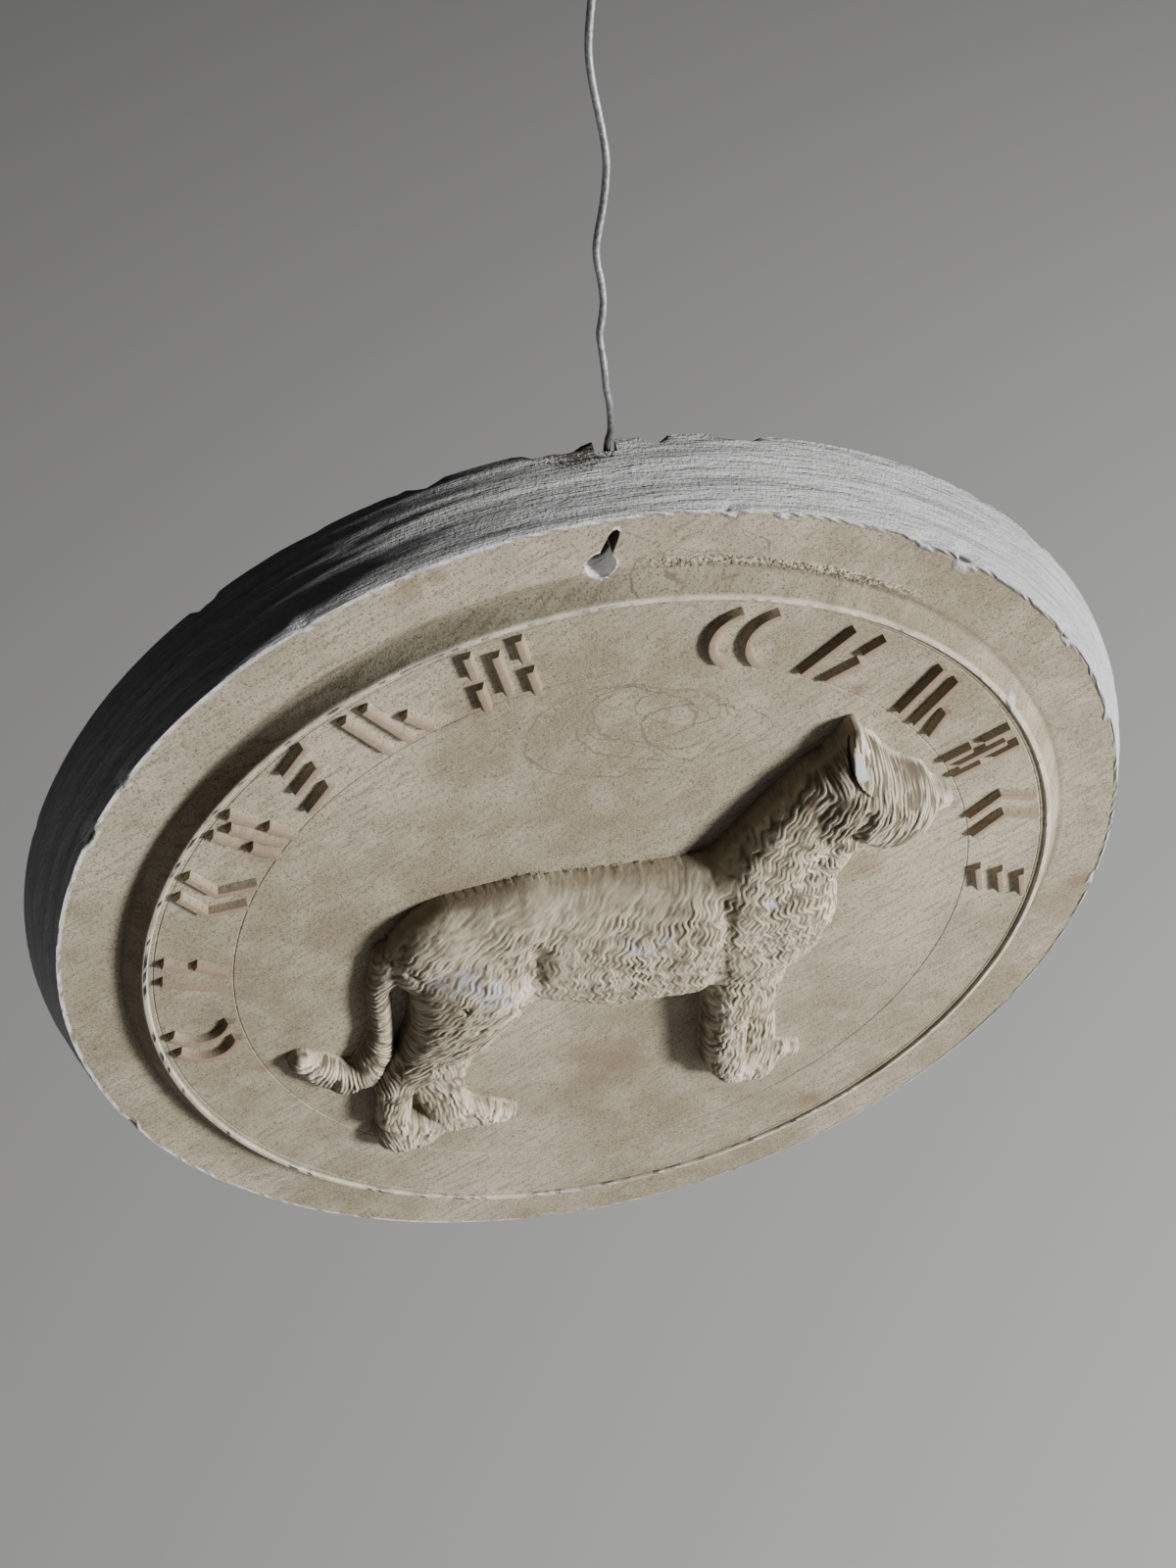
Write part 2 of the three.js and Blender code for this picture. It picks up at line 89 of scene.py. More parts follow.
class Value:
    """A shader socket that takes part in plain arithmetic."""

    def __init__(self, tree, socket):
        self.tree = tree
        self.socket = socket

    def node(self, kind, settings=None, output=0, **inputs):
        """A new node; its inputs go by name, or by number as i0, i1 and so on."""
        made = self.tree.nodes.new(kind)
        for name, setting in (settings or {}).items():
            setattr(made, name, setting)
        for name, given in inputs.items():
            spot = made.inputs[int(name[1:]) if name[1:].isdigit() else name.replace("_", " ")]
            if isinstance(given, Value):
                self.tree.links.new(given.socket, spot)
            else:
                spot.default_value = given
        return Value(self.tree, made.outputs[output])

    def maths(self, operation, other=0.0):
        return self.node("ShaderNodeMath", {"operation": operation}, i0=self, i1=other)

    def __add__(self, other):
        return self.maths("ADD", other)

    def __sub__(self, other):
        return self.maths("SUBTRACT", other)

    def __mul__(self, other):
        return self.maths("MULTIPLY", other)

    def __truediv__(self, other):
        return self.maths("DIVIDE", other)

    def __pow__(self, other):
        return self.maths("POWER", other)

    def __abs__(self):
        return self.maths("ABSOLUTE")

    def most(self, other):
        return self.maths("MAXIMUM", other)

    def far(self, other):
        """The length of a line that reaches this far one way and the other's value across it."""
        return (self * self + other * other) ** 0.5

    def above(self, low, high):
        """0 below low and 1 above high, with a smooth rise between."""
        return self.node("ShaderNodeMapRange", {"interpolation_type": "SMOOTHSTEP"},
                         Value=self, From_Min=low, From_Max=high)

    def blend(self, under, over):
        """under where this is 0 and over where it is 1; a plain colour is red, green and blue."""
        under, over = (c if isinstance(c, Value) else (*c, 1) for c in (under, over))
        return self.node("ShaderNodeMix", {"data_type": "RGBA"}, output=2, i0=self, i6=under, i7=over)

    def noise(self, scale, detail=3.0, rough=0.55):
        """Noise read at this vector, from 0 to 1, with scale in cycles a metre."""
        return self.node("ShaderNodeTexNoise", Vector=self, Scale=scale, Detail=detail, Roughness=rough)

    def vector(self, x, y, z=0.0):
        return self.node("ShaderNodeCombineXYZ", i0=x, i1=y, i2=z)

    def axis(self, number):
        return self.node("ShaderNodeSeparateXYZ", output=number, i0=self)

    def bumps(self, distance, **under):
        """The direction of a surface with this as its height; under may give an earlier Normal."""
        return self.node("ShaderNodeBump", Height=self, Distance=distance, **under)

    def feeds(self, shader, name):
        self.tree.links.new(self.socket, shader.inputs[name])


def new_finish(name, metallic=0.0, roughness=0.8):
    """A material with its shader node and the piece's own coordinates."""
    material = bpy.data.materials.new(name)
    material.use_nodes = True
    tree = material.node_tree
    shader = tree.nodes["Principled BSDF"]
    shader.inputs["Metallic"].default_value = metallic
    shader.inputs["Roughness"].default_value = roughness
    return material, shader, Value(tree, tree.nodes.new("ShaderNodeTexCoord").outputs["Object"])


def galvanised_wire():
    material, shader, place = new_finish("galvanised_wire", metallic=1.0)
    dull = place.noise(260.0, 2.0)
    grime = place.axis(2).above(0.172, 0.152)
    zinc = place.noise(900.0, 4.0).above(0.35, 0.7).blend((0.3, 0.31, 0.32), (0.56, 0.57, 0.58))
    (grime * 0.7 + dull.above(0.55, 0.8) * 0.25).blend(zinc, (0.11, 0.095, 0.08)).feeds(shader, "Base Color")
    (dull * 0.35 + 0.25).feeds(shader, "Roughness")
    along = place.node("ShaderNodeVectorMath", {"operation": "MULTIPLY"}, i0=place, i1=(1, 1, 0.08))
    along.noise(2600.0, 2.0).bumps(0.00004).feeds(shader, "Normal")
    return material


def smooth_route(points, steps):
    """Points of a smooth line through every given point."""
    knots = [Vector(p) for p in points]
    ends = [2 * knots[0] - knots[1], *knots, 2 * knots[-1] - knots[-2]]
    line = []
    for a, b, c, d in zip(ends, ends[1:], ends[2:], ends[3:]):
        for step in range(steps):
            t = step / steps
            line.append(0.5 * (2 * b + (c - a) * t + (2 * a - 5 * b + 4 * c - d) * t ** 2
                               + (3 * b - a - 3 * c + d) * t ** 3))
    return [*line, knots[-1]]


wire_finish = galvanised_wire()
wire_line = smooth_route([tuple(MM * c for c in point) for point in WIRE_ROUTE], STEPS_PER_SPAN)
wire_curve = bpy.data.curves.new("hanging_wire_piece", "CURVE")
wire_curve.dimensions = "3D"
wire_curve.bevel_depth = WIRE_DIAMETER / 2
wire_curve.bevel_resolution = 5
wire_curve.use_fill_caps = True
spline = wire_curve.splines.new("POLY")
spline.points.add(len(wire_line) - 1)
for point, place in zip(spline.points, wire_line):
    point.co = (*place, 1)
wire = placed("hanging_wire_piece", wire_curve)
wire_curve.materials.append(wire_finish)


# The hanging eye is the same wire's upper end, bent round to a ring and wound down its own neck in three
# close turns. Its path goes up the neck, round the ring and down the winding, and a round section follows it.
EYE_RADIUS = 5 * MM
NECK_HEIGHT = 6 * MM
WINDING_TURNS = 3
WINDING_GAP = 0.04 * MM
RING_STEPS = 30
STEPS_PER_TURN = 14


def eye_path():
    x, y, z = wire_line[-1]
    middle = z + NECK_HEIGHT + EYE_RADIUS
    winding = WIRE_DIAMETER + WINDING_GAP
    path = [Vector((x, y, z + 0.15 * MM)), Vector((x, y, z + NECK_HEIGHT * 0.75))]
    for step in range(1, RING_STEPS):
        angle = -math.pi / 2 + 2 * math.pi * step / RING_STEPS
        lean = winding * 0.6 * step / RING_STEPS
        reach, height = EYE_RADIUS * math.cos(angle), middle + EYE_RADIUS * math.sin(angle)
        path.append(Vector((x + reach, y - lean, height)))
    steps = STEPS_PER_TURN * WINDING_TURNS
    for step in range(steps + 1):
        angle = math.pi * 1.2 + 2 * math.pi * step / STEPS_PER_TURN
        height = z + NECK_HEIGHT * (0.8 - 0.68 * step / steps)
        path.append(Vector((x + winding * math.cos(angle), y + winding * math.sin(angle), height)))
    return path


def sweep_tree(name, sizes, section, upright=False):
    """Sweeps a section along a path made of a mesh's edges, and gives it its finish."""
    tree = bpy.data.node_groups.new(name, "GeometryNodeTree")
    sockets = {"Geometry": "Geometry", **dict.fromkeys(sizes, "Float"), "Finish": "Material"}
    for label, kind in sockets.items():
        tree.interface.new_socket(label, in_out="INPUT", socket_type="NodeSocket" + kind)
    tree.interface.new_socket("Geometry", in_out="OUTPUT", socket_type="NodeSocketGeometry")
    start = tree.nodes.new("NodeGroupInput")
    line = [start, tree.nodes.new("GeometryNodeMeshToCurve")]
    if upright:
        line.append(tree.nodes.new("GeometryNodeSetCurveNormal"))
        line[-1].mode = "Z_UP"
    sweep = tree.nodes.new("GeometryNodeCurveToMesh")
    sweep.inputs["Fill Caps"].default_value = True
    tree.links.new(section(tree, start).outputs["Curve"], sweep.inputs["Profile Curve"])
    dress = tree.nodes.new("GeometryNodeSetMaterial")
    tree.links.new(start.outputs["Finish"], dress.inputs["Material"])
    line += [sweep, tree.nodes.new("GeometryNodeRealizeInstances"), dress, tree.nodes.new("NodeGroupOutput")]
    for before, after in zip(line, line[1:]):
        tree.links.new(before.outputs[0], after.inputs[0])
    return tree


def round_section(tree, start):
    half = tree.nodes.new("ShaderNodeMath")
    half.operation = "MULTIPLY"
    half.inputs[1].default_value = 0.5
    ring = tree.nodes.new("GeometryNodeCurvePrimitiveCircle")
    ring.inputs["Resolution"].default_value = STEPS_PER_TURN
    tree.links.new(start.outputs["Thickness"], half.inputs[0])
    tree.links.new(half.outputs[0], ring.inputs["Radius"])
    return ring


def mesh_object(name, points, edges=(), faces=()):
    mesh = bpy.data.meshes.new(name)
    mesh.from_pydata([tuple(p) for p in points], edges, faces)
    return placed(name, mesh)


def made_plain(source, name):
    """The evaluated object as a plain mesh object of its own; the source is removed."""
    bpy.context.view_layer.update()
    mesh = bpy.data.meshes.new_from_object(source.evaluated_get(bpy.context.evaluated_depsgraph_get()))
    bpy.data.objects.remove(source)
    mesh.name = name
    return placed(name, mesh)


def swept(name, paths, tree, **inputs):
    """A section swept along each path by a node tree, as a plain mesh."""
    edges = []
    first = 0
    for path in paths:
        edges += [(first + i, first + i + 1) for i in range(len(path) - 1)]
        first += len(path)
    holder = mesh_object(name + "_path", [p for path in paths for p in path], edges)
    modifier = holder.modifiers.new(name, "NODES")
    modifier.node_group = tree
    sockets = {item.name.replace(" ", "_"): item.identifier for item in tree.interface.items_tree}
    for label, given in inputs.items():
        modifier[sockets[label]] = given
    return made_plain(holder, name)


eye = swept("hanging_eye_piece", [eye_path()], sweep_tree("round_section", ["Thickness"], round_section),
            Thickness=WIRE_DIAMETER, Finish=wire_finish)
for polygon in eye.data.polygons:
    polygon.use_smooth = True

wire_length = sum((b - a).length for a, b in zip(wire_line, wire_line[1:]))
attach(wire, "root")
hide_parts("hanging_wire")
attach(eye, "root")
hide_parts("hanging_eye")


# The plaster roundel is one cast. Its back and its rim were struck and scraped while the plaster set, so
# they are raw and lined; the front came out of the mould smooth, and has a beige patina, knocks and pits.
# All its sizes are in millimetres lying on its back: x to the right, y up the plaque, z out of its front.
FRONT_RADIUS = 150
BACK_RADIUS = 157
FLANGE = 19.7
DISC_RADIUS = 128.5
DISC_TOP = 25.4
LIP_WIDTH = 1.8
FIELD = 24.5
STEP_RUN = 3.8
STEP_FOOT = DISC_RADIUS + STEP_RUN
TURNS = 420
GUIDE_CIRCLES = (104.2, 125.4)
RIM_ROWS = 30


def lattice(seed, x, y):
    """A fixed number from 0 to 1 for each whole-numbered place."""
    mixed = np.sin(x * 127.1 + y * 311.7 + seed * 74.7) * 43758.5453
    return mixed - np.floor(mixed)


def value_noise(seed, x, y):
    """Smooth noise from -1 to 1, one cell to a unit."""
    column, row = np.floor(x), np.floor(y)
    u, v = x - column, y - row
    u, v = u * u * (3 - 2 * u), v * v * (3 - 2 * v)
    low = lattice(seed, column, row) * (1 - u) + lattice(seed, column + 1, row) * u
    high = lattice(seed, column, row + 1) * (1 - u) + lattice(seed, column + 1, row + 1) * u
    return 2 * (low * (1 - v) + high * v) - 1


def rising(value, low, high):
    share = np.clip((value - low) / (high - low), 0, 1)
    return share * share * (3 - 2 * share)


# Knocks along the edges: edge, bearing in degrees, length along the edge, depth
CHIPS = [
    ("rim", 78, 5, 1.2), ("rim", 73, 3.5, 0.9), ("rim", 57, 4, 1), ("rim", 51.5, 7, 1.5), ("rim", 34, 5, 1.4),
    ("rim", 20, 4, 0.9), ("rim", 143, 5, 1.2), ("rim", 151, 8, 1.6), ("rim", 118, 5, 1), ("rim", 200, 6, 1.1),
    ("rim", 262, 7, 1.2), ("rim", 352, 5, 1.1),
    ("back", 92.5, 16, 1.7), ("back", 83.5, 5, 2.6), ("back", 76, 14, 1.5), ("back", 104, 8, 1.2),
    ("back", 40, 8, 1.2), ("back", 126, 10, 1.2), ("back", 215, 12, 2), ("back", 300, 10, 1.8),
    ("lip", 268, 11, 0.9), ("lip", 245, 8, 0.8), ("lip", 32, 5, 0.6),
]
EDGE_REACH = 3.6
EDGES = {"rim": (FRONT_RADIUS, FLANGE, 1), "back": (BACK_RADIUS, 0, -1), "lip": (DISC_RADIUS, DISC_TOP, 1)}


def chip_depths(edge, bearing, radius):
    """How much is knocked off an edge at each bearing."""
    arc = np.radians(bearing) * radius
    ragged = {"rim": 0.3, "back": 0.5, "lip": 0.12}[edge]
    waves = value_noise(5, arc / 2.7, 0 * arc) + 0.55 * value_noise(6, arc / 9, 0 * arc)
    depth = ragged * np.clip(waves, 0, 2)
    for name, middle, length, most in CHIPS:
        if name == edge:
            off = (bearing - middle + 180) % 360 - 180
            share = np.radians(off) * radius / (length / 2)
            torn = 1 + 0.25 * value_noise(7, arc / 1.9, 0 * arc)
            depth = np.maximum(depth, most * torn * np.clip(1 - share ** 4, 0, 1))
    return depth


def beyond_break(edge, bearing, radius, height):
    """How far each place lies beyond an edge's break, whether it is near, and how much is lost there."""
    edge_radius, edge_height, side = EDGES[edge]
    lost = chip_depths(edge, bearing, edge_radius)
    beyond = ((radius - edge_radius) + side * (height - edge_height)) / math.sqrt(2) + lost
    near = (np.abs(radius - edge_radius) < EDGE_REACH) & (np.abs(height - edge_height) < EDGE_REACH)
    return beyond, near, lost


def knocked(edge, bearing, radius, height):
    """Pushes what lies beyond a knocked-off edge back to the break."""
    beyond, near, _ = beyond_break(edge, bearing, radius, height)
    moved = np.clip(beyond, 0, None) * near / math.sqrt(2)
    return radius - moved, height - EDGES[edge][2] * moved


def roundel_rings():
    """The section from the middle of the face round to the back's: radius and height of each ring."""
    rings = [(60, FIELD)]
    for circle in GUIDE_CIRCLES:
        rings += [(circle - 0.32, FIELD), (circle, FIELD - 0.22), (circle + 0.32, FIELD)]
    lip = DISC_RADIUS - LIP_WIDTH
    rings += [(lip - 0.15, FIELD), (lip + 0.1, DISC_TOP - 0.25), (lip + 0.4, DISC_TOP)]
    rings += [(DISC_RADIUS - 0.55, DISC_TOP), (DISC_RADIUS - 0.15, DISC_TOP - 0.2)]
    for share in (0.08, 0.3, 0.55, 0.8, 0.93):
        height = DISC_TOP - 0.4 - (DISC_TOP - 0.5 - FLANGE) * share
        rings.append((DISC_RADIUS + STEP_RUN * share ** 1.1, height))
    rings += [(STEP_FOOT + 0.5, FLANGE), (STEP_FOOT + 1.2, FLANGE - 0.05)]
    rings += [(radius, FLANGE) for radius in np.linspace(STEP_FOOT + 3, FRONT_RADIUS - 2.4, 6)]
    rings += [(FRONT_RADIUS - 1.3, FLANGE), (FRONT_RADIUS - 0.5, FLANGE)]
    rings += [(FRONT_RADIUS - 0.08, FLANGE - 0.15)]
    for share in np.linspace(0.02, 1, RIM_ROWS):
        flare = (BACK_RADIUS - FRONT_RADIUS) * (0.62 * share + 0.38 * math.sin(share * math.pi / 2))
        rings.append((FRONT_RADIUS + flare, (FLANGE - 0.5) * (1 - share) + 0.25))
    return rings + [(BACK_RADIUS - 0.5, 0), (BACK_RADIUS - 2.5, 0), (BACK_RADIUS - 6, 0)]


def tube_faces(rings, count):
    """The faces between rings of points, and a cap on each end."""
    faces = []
    for ring in range(rings - 1):
        for spot in range(count):
            a, b = ring * count + spot, ring * count + (spot + 1) % count
            faces.append((a, a + count, b + count, b))
    return [*faces, tuple(range(count)), tuple(reversed(range((rings - 1) * count, rings * count)))]


def roundel_mesh():
    rings = roundel_rings()
    bearing = np.linspace(0, 360, TURNS, endpoint=False)[None, :]
    radius = np.array([r for r, _ in rings])[:, None] + 0 * bearing
    height = np.array([z for _, z in rings])[:, None] + 0 * bearing
    on_side = (np.array([z for _, z in rings])[:, None] < FLANGE - 0.3) & (radius > FRONT_RADIUS - 0.05)
    arc = np.radians(bearing) * BACK_RADIUS
    level = height + 1.6 * value_noise(1, arc / 48, height / 40) + 3 * np.cos(np.radians(bearing - 40))
    scrape = 0.36 * value_noise(3, arc / 52, level / 2.8) + 0.26 * value_noise(4, arc / 36, level / 1.2)
    scrape += 0.07 * value_noise(8, arc / 3.4, height / 1.5) + 0.05 * value_noise(10, arc / 2, height / 2)
    fade = rising(height, 0.2, 2.0) * rising(FLANGE - height, 0.2, 2.5)
    radius = radius + on_side * scrape * (0.35 + 0.65 * fade)
    radius = np.where(on_side, np.minimum(radius, BACK_RADIUS), radius)
    face = (~on_side) & (radius > STEP_FOOT) & (height > FLANGE - 1)
    height = height + face * 0.14 * value_noise(9, arc / 21, radius / 9)
    for edge in EDGES:
        radius, height = knocked(edge, bearing, radius, height)
    angle = np.radians(bearing)
    points = np.stack([radius * np.cos(angle), radius * np.sin(angle), height], -1).reshape(-1, 3)
    return mesh_object("roundel_body", points, faces=tube_faces(len(rings), TURNS))


# The raised strokes fill the inscription's place on the disc: plain bars, bent bars and shells that form
# no letters. They were cut in the mould, so they stand proud with sides drawn in towards their flat tops.
STROKE_FOOT = 5
STROKE_TOP = 1.7
STROKE_RISE = 2.2
MARK_HEIGHT = 19.6
MARK_FOOT = DISC_RADIUS - LIP_WIDTH - 2.4 - MARK_HEIGHT
MARKS = {
    "hooks": [[(0.4, 0.98), (0.12, 0.5), (0.4, 0.02)], [(0.84, 0.98), (0.56, 0.5), (0.84, 0.02)]],
    "shells": [],
    "rain": [[(0.06, 0.06), (0.3, 0.94)], [(0.42, 0.06), (0.66, 0.5)], [(0.62, 0.62), (0.76, 0.94)]],
    "fence": [[(0.16, 0), (0.16, 0.42)], [(0.16, 0.6), (0.16, 1)], [(0.5, 0.14), (0.5, 0.86)],
              [(0.84, 0), (0.84, 0.42)], [(0.84, 0.6), (0.84, 1)]],
    "steps": [[(0.02, 0.1), (0.62, 0.22)], [(0.2, 0.46), (0.8, 0.58)], [(0.38, 0.82), (0.98, 0.94)]],
    "rails": [[(0.2, 0.08), (0.02, 0.94)], [(0.56, 0.08), (0.38, 0.94)], [(0.92, 0.08), (0.74, 0.5)]],
}
INSCRIPTION = [
    (186.5, "shells", 17), (170, "rain", 17), (154.5, "hooks", 18), (142.5, "fence", 12), (131, "steps", 17),
    (118, "rails", 17), (103, "fence", 19),
    (74.5, "shells", 21), (57, "rain", 21), (40, "rails", 20), (26.5, "fence", 11), (12.5, "hooks", 19),
    (-3, "steps", 16),
]


def stroke_paths():
    """Every stroke's line on the disc, in its place."""
    paths = []
    for bearing, kind, width in INSCRIPTION:
        turn = Matrix.Rotation(math.radians(bearing - 90), 3, "Z")
        lines = [[((x - 0.5) * width, y * MARK_HEIGHT) for x, y in line] for line in MARKS[kind]]
        if kind == "shells":
            bend = [math.radians(a) for a in np.linspace(112, 248, 15)]
            reach, middle = 0.46 * MARK_HEIGHT, 0.5 * MARK_HEIGHT
            for share in (0.72, 1.18):
                side = (share - 0.5) * width
                lines.append([(side + reach * math.cos(a), middle + reach * math.sin(a)) for a in bend])
        for line in lines:
            paths.append([turn @ Vector((x, MARK_FOOT + y, FIELD)) for x, y in line])
    return paths


def drawn_in_section(tree, start):
    """A section drawn in towards its top, with softened corners; the sweep turns it over."""
    bar = tree.nodes.new("GeometryNodeCurvePrimitiveQuadrilateral")
    bar.mode = "TRAPEZOID"
    bar.inputs["Offset"].default_value = 0
    softened = tree.nodes.new("GeometryNodeFilletCurve")
    softened.mode = "POLY"
    softened.inputs["Count"].default_value = 2
    for size, made, spot in (("Foot width", bar, "Top Width"), ("Top width", bar, "Bottom Width"),
                             ("Height", bar, "Height"), ("Arris", softened, "Radius")):
        tree.links.new(start.outputs[size], made.inputs[spot])
    tree.links.new(bar.outputs["Curve"], softened.inputs["Curve"])
    return softened


def stroke_mesh(finish):
    sizes = ["Foot width", "Top width", "Height", "Arris"]
    tree = sweep_tree("raised_stroke", sizes, drawn_in_section, upright=True)
    return swept("raised_strokes", stroke_paths(), tree, Foot_width=STROKE_FOOT, Top_width=STROKE_TOP,
                 Height=2 * STROKE_RISE, Arris=0.2, Finish=finish)


# The dog is carved in high relief on the disc, as one with it. Each part of its body swells along a line
# of stations, in percent of its height: x, height above the ground, radius and rise. Its wiry coat is combed
# in fine wavy strands that run side by side, worn flat in places, with a few pits where air was caught.
DOG_HEIGHT = 113
DOG_GROUND = -77
PERCENT = DOG_HEIGHT / 100
CARVING_STEP = 0.3
CARVING_KEPT = 0.2
ROOT = 1.6
ROUNDED = 0.42
SUNK = 1.5
# Each part as its fullness, how far it melts into the parts before it, and its stations
DOG = {
    "trunk": (2.8, 0, [(-36.4, 77.6, 19, 11.5), (-20.8, 78.5, 19.8, 12.5), (1.4, 72.8, 22.8, 14.5),
                       (17.6, 72.5, 22.2, 16), (35.6, 74, 21.7, 15)]),
    "neck": (3.4, 3, [(37.8, 85.8, 16.3, 13.5), (48.9, 103.2, 14.4, 12.5), (55.2, 111.8, 13.6, 12.5)]),
    "head": (3.2, 1.5, [(56.9, 132.3, 1.6, 6), (57, 121.5, 7.4, 11.5), (57.9, 113.8, 12.6, 14.2)]),
    "brow": (2.6, 1.5, [(59, 123.3, 4.7, 8.2), (64.5, 116.1, 3.8, 8.8), (72.3, 110.8, 4.3, 8.4)]),
    "muzzle": (3.8, 2.5, [(59.5, 108.5, 12.6, 13.5), (68, 103.9, 11.2, 12)]),
    "nose": (2.4, 2, [(75.7, 104.2, 4.9, 8.7), (81.1, 103.8, 2.7, 7.3)]),
    "foreleg": (2.7, 2, [(37.4, 65.9, 14, 13.3), (30.9, 52, 8.4, 12.4), (29.8, 36.5, 6.2, 11.5),
                         (29.6, 13.9, 6, 9.7)]),
    "forepaw": (2.4, 2, [(31.7, 8.4, 5.8, 8.4), (37.8, 6.3, 7.8, 6.8)]),
    "far_foreleg": (2.6, 0.6, [(40.6, 51.9, 7, 5.8), (37.8, 32.8, 5.8, 5.6), (39, 15, 5.9, 5.2)]),
    "far_forepaw": (2.4, 1.5, [(42, 9.3, 3.6, 4), (49, 7.2, 2.8, 3.8)]),
    "thigh": (2.7, 1.2, [(-34.1, 67.6, 18, 15), (-40.7, 51.1, 11.7, 12.4), (-49, 39.4, 7.7, 9.7),
                         (-56.5, 30.2, 6.1, 8)]),
    "hock": (2.6, 2, [(-57.4, 30, 5.4, 8), (-58.8, 15, 5.1, 7.5)]),
    "hind_paw": (2.4, 2, [(-56.8, 5.6, 7.9, 7), (-53.1, 5.2, 7.2, 6.2)]),
    "far_hind_leg": (2.6, 0.6, [(-42.3, 39.5, 8.3, 6.2), (-46.5, 25.1, 7.1, 5.4), (-45, 15, 6.2, 5.4)]),
    "far_hind_paw": (2.4, 2.5, [(-43.5, 8.5, 7, 5.2), (-36, 6, 5.6, 4.8), (-29.4, 4, 3.5, 4)]),
    "tail": (2.4, 0, [(-53, 78.3, 5.8, 6.2), (-57.9, 68.5, 3, 5.4), (-58.4, 51.8, 3.1, 5.2),
                      (-60.2, 42.8, 4.3, 5.6), (-63.9, 34.9, 4.6, 5.8), (-70, 34, 4.8, 6),
                      (-75.8, 40, 4.6, 5.8), (-79.5, 43.7, 3.4, 4.6)]),
}

# Folds pressed into the coat, in millimetres on the plaque: both ends, half width, depth
FOLDS = [
    (28.8, 22.4, 28.2, -7, 2.7, 1.7), (-22.6, 15.6, -25.4, -5.8, 2.9, 1.6), (66, 51, 64, 40, 1.9, 1.8),
    (64, 40, 68.5, 33, 1.6, 2), (42, 34, 56, 55, 3.4, 0.9), (52, 27, 63, 43, 3, 1.3),
    (27.5, -7, 25.5, -14, 2.4, 1.2), (75, 52.5, 77.5, 51.5, 1.5, 1.4), (-57, 3, -60, -8, 1.6, 1.2),
    (-82.8, -39.5, -81, -35, 0.6, 2),
]

# The ear stands up from the crown: the line of its open edge, and how far it stands out and reaches
EAR = [(63.4, 72.6), (62.5, 68.6), (62.5, 65), (63.2, 62.4), (64.8, 60.2)]
EAR_STAND = 1.7
EAR_REACH = 4.8
EAR_SLIT = 0.6
EAR_SLIT_DEPTH = 2.6
EYE = (78.6, 54.6)

# Where the coat is combed: x, y, direction in degrees, and how far it waves to both sides in degrees
COMB = [
    (-46, 26, 28, 10), (-24, 31, 22, 8), (2, 32, 22, 8), (24, 31, 30, 10), (-24, 20, 54, 22), (2, 20, 62, 28),
    (-10, 27, 34, 12), (14, 27, 38, 14), (-36, 22, 40, 12), (20, 20, 76, 38), (-36, 8, 62, 32),
    (-14, 10, 82, 38), (8, 10, 92, 40), (26, 10, 96, 40), (-22, -4, 100, 36), (-4, -6, 98, 38),
    (16, -6, 96, 38), (40, 8, 98, 44), (48, 16, 100, 42), (36, 20, 80, 42), (53, 26, 112, 36),
    (40, 30, 66, 34), (48, 40, 62, 28), (56, 36, 96, 34), (63, 33, 118, 30), (54, 55, 58, 10),
    (60, 48, 56, 14), (58, 62, 118, 8), (64, 54, 62, 12), (70, 44, 60, 12), (68, 38, 56, 8), (76, 38, 66, 8),
    (84, 42, 74, 8), (78, 48, 92, 10), (88, 46, 84, 6), (70, 64, 104, 6), (80, 58, 100, 8), (70, 57, 84, 10),
    (67, 66, 96, 4), (76, 53, 82, 12), (84, 52, 86, 8), (34, -12, 84, 30), (30, -32, 92, 28),
    (34, -46, 88, 26), (31, -60, 84, 20), (25, -34, 62, 14), (25, -52, 58, 12), (40, -69, 60, 8),
    (46, -38, 92, 16), (46, -56, 90, 12), (50, -65, 70, 8), (31, -70, 100, 8), (36, -71, 80, 8),
    (-40, 2, 52, 22), (-46, -10, 44, 16), (-38, -14, 50, 18), (-50, -24, 36, 12), (-44, -28, 50, 12),
    (-58, -36, 32, 12), (-62, -44, 64, 12), (-66, -56, 78, 12), (-68, -68, 112, 6), (-64, -71, 92, 6),
    (-59, -70, 66, 6), (-50, -34, 100, 10), (-52, -48, 106, 10), (-50, -60, 92, 8), (-42, -68, 116, 8),
    (-42, -60, 108, 8), (-34, -69, 64, 6), (-58, 12, 58, 18), (-66, 2, 40, 8), (-67, -12, 30, 8),
    (-67, -20, 158, 5), (-69, -25, 140, 4), (-67.7, -35, 120, 4), (-75.5, -37, 100, 4), (-79, -38, 78, 4),
    (-84, -35, 50, 4), (-89, -31, 34, 4), (-89, -24, 152, 4), (-74, -31, 110, 4),
]
COAT_SEED = 11
STRAND = 0.92
STRAND_STEP = 0.34
STRAND_REACH = 30
WAVE = 5.6
COAT_DEPTH = 0.5
CROWDING = 0.62
TIP_SAMPLES = 6

# Where the coat is cut deeper (or, below 0, worn shallower), as x, y, reach and share
COAT_SPOTS = [(70, 53, 17, 0.9), (48, 22, 12, 0.25), (26, 34, 9, -0.4), (10, 31, 7, -0.4), (-6, 31, 7, -0.45),
              (-22, 31, 8, -0.45), (-36, 30, 8, -0.3), (-18, -1, 9, -0.3), (-46, 24, 10, -0.2),
              (10, -12, 14, -0.2), (-74, -33, 15, 0.7), (32, -50, 14, 0.2)]

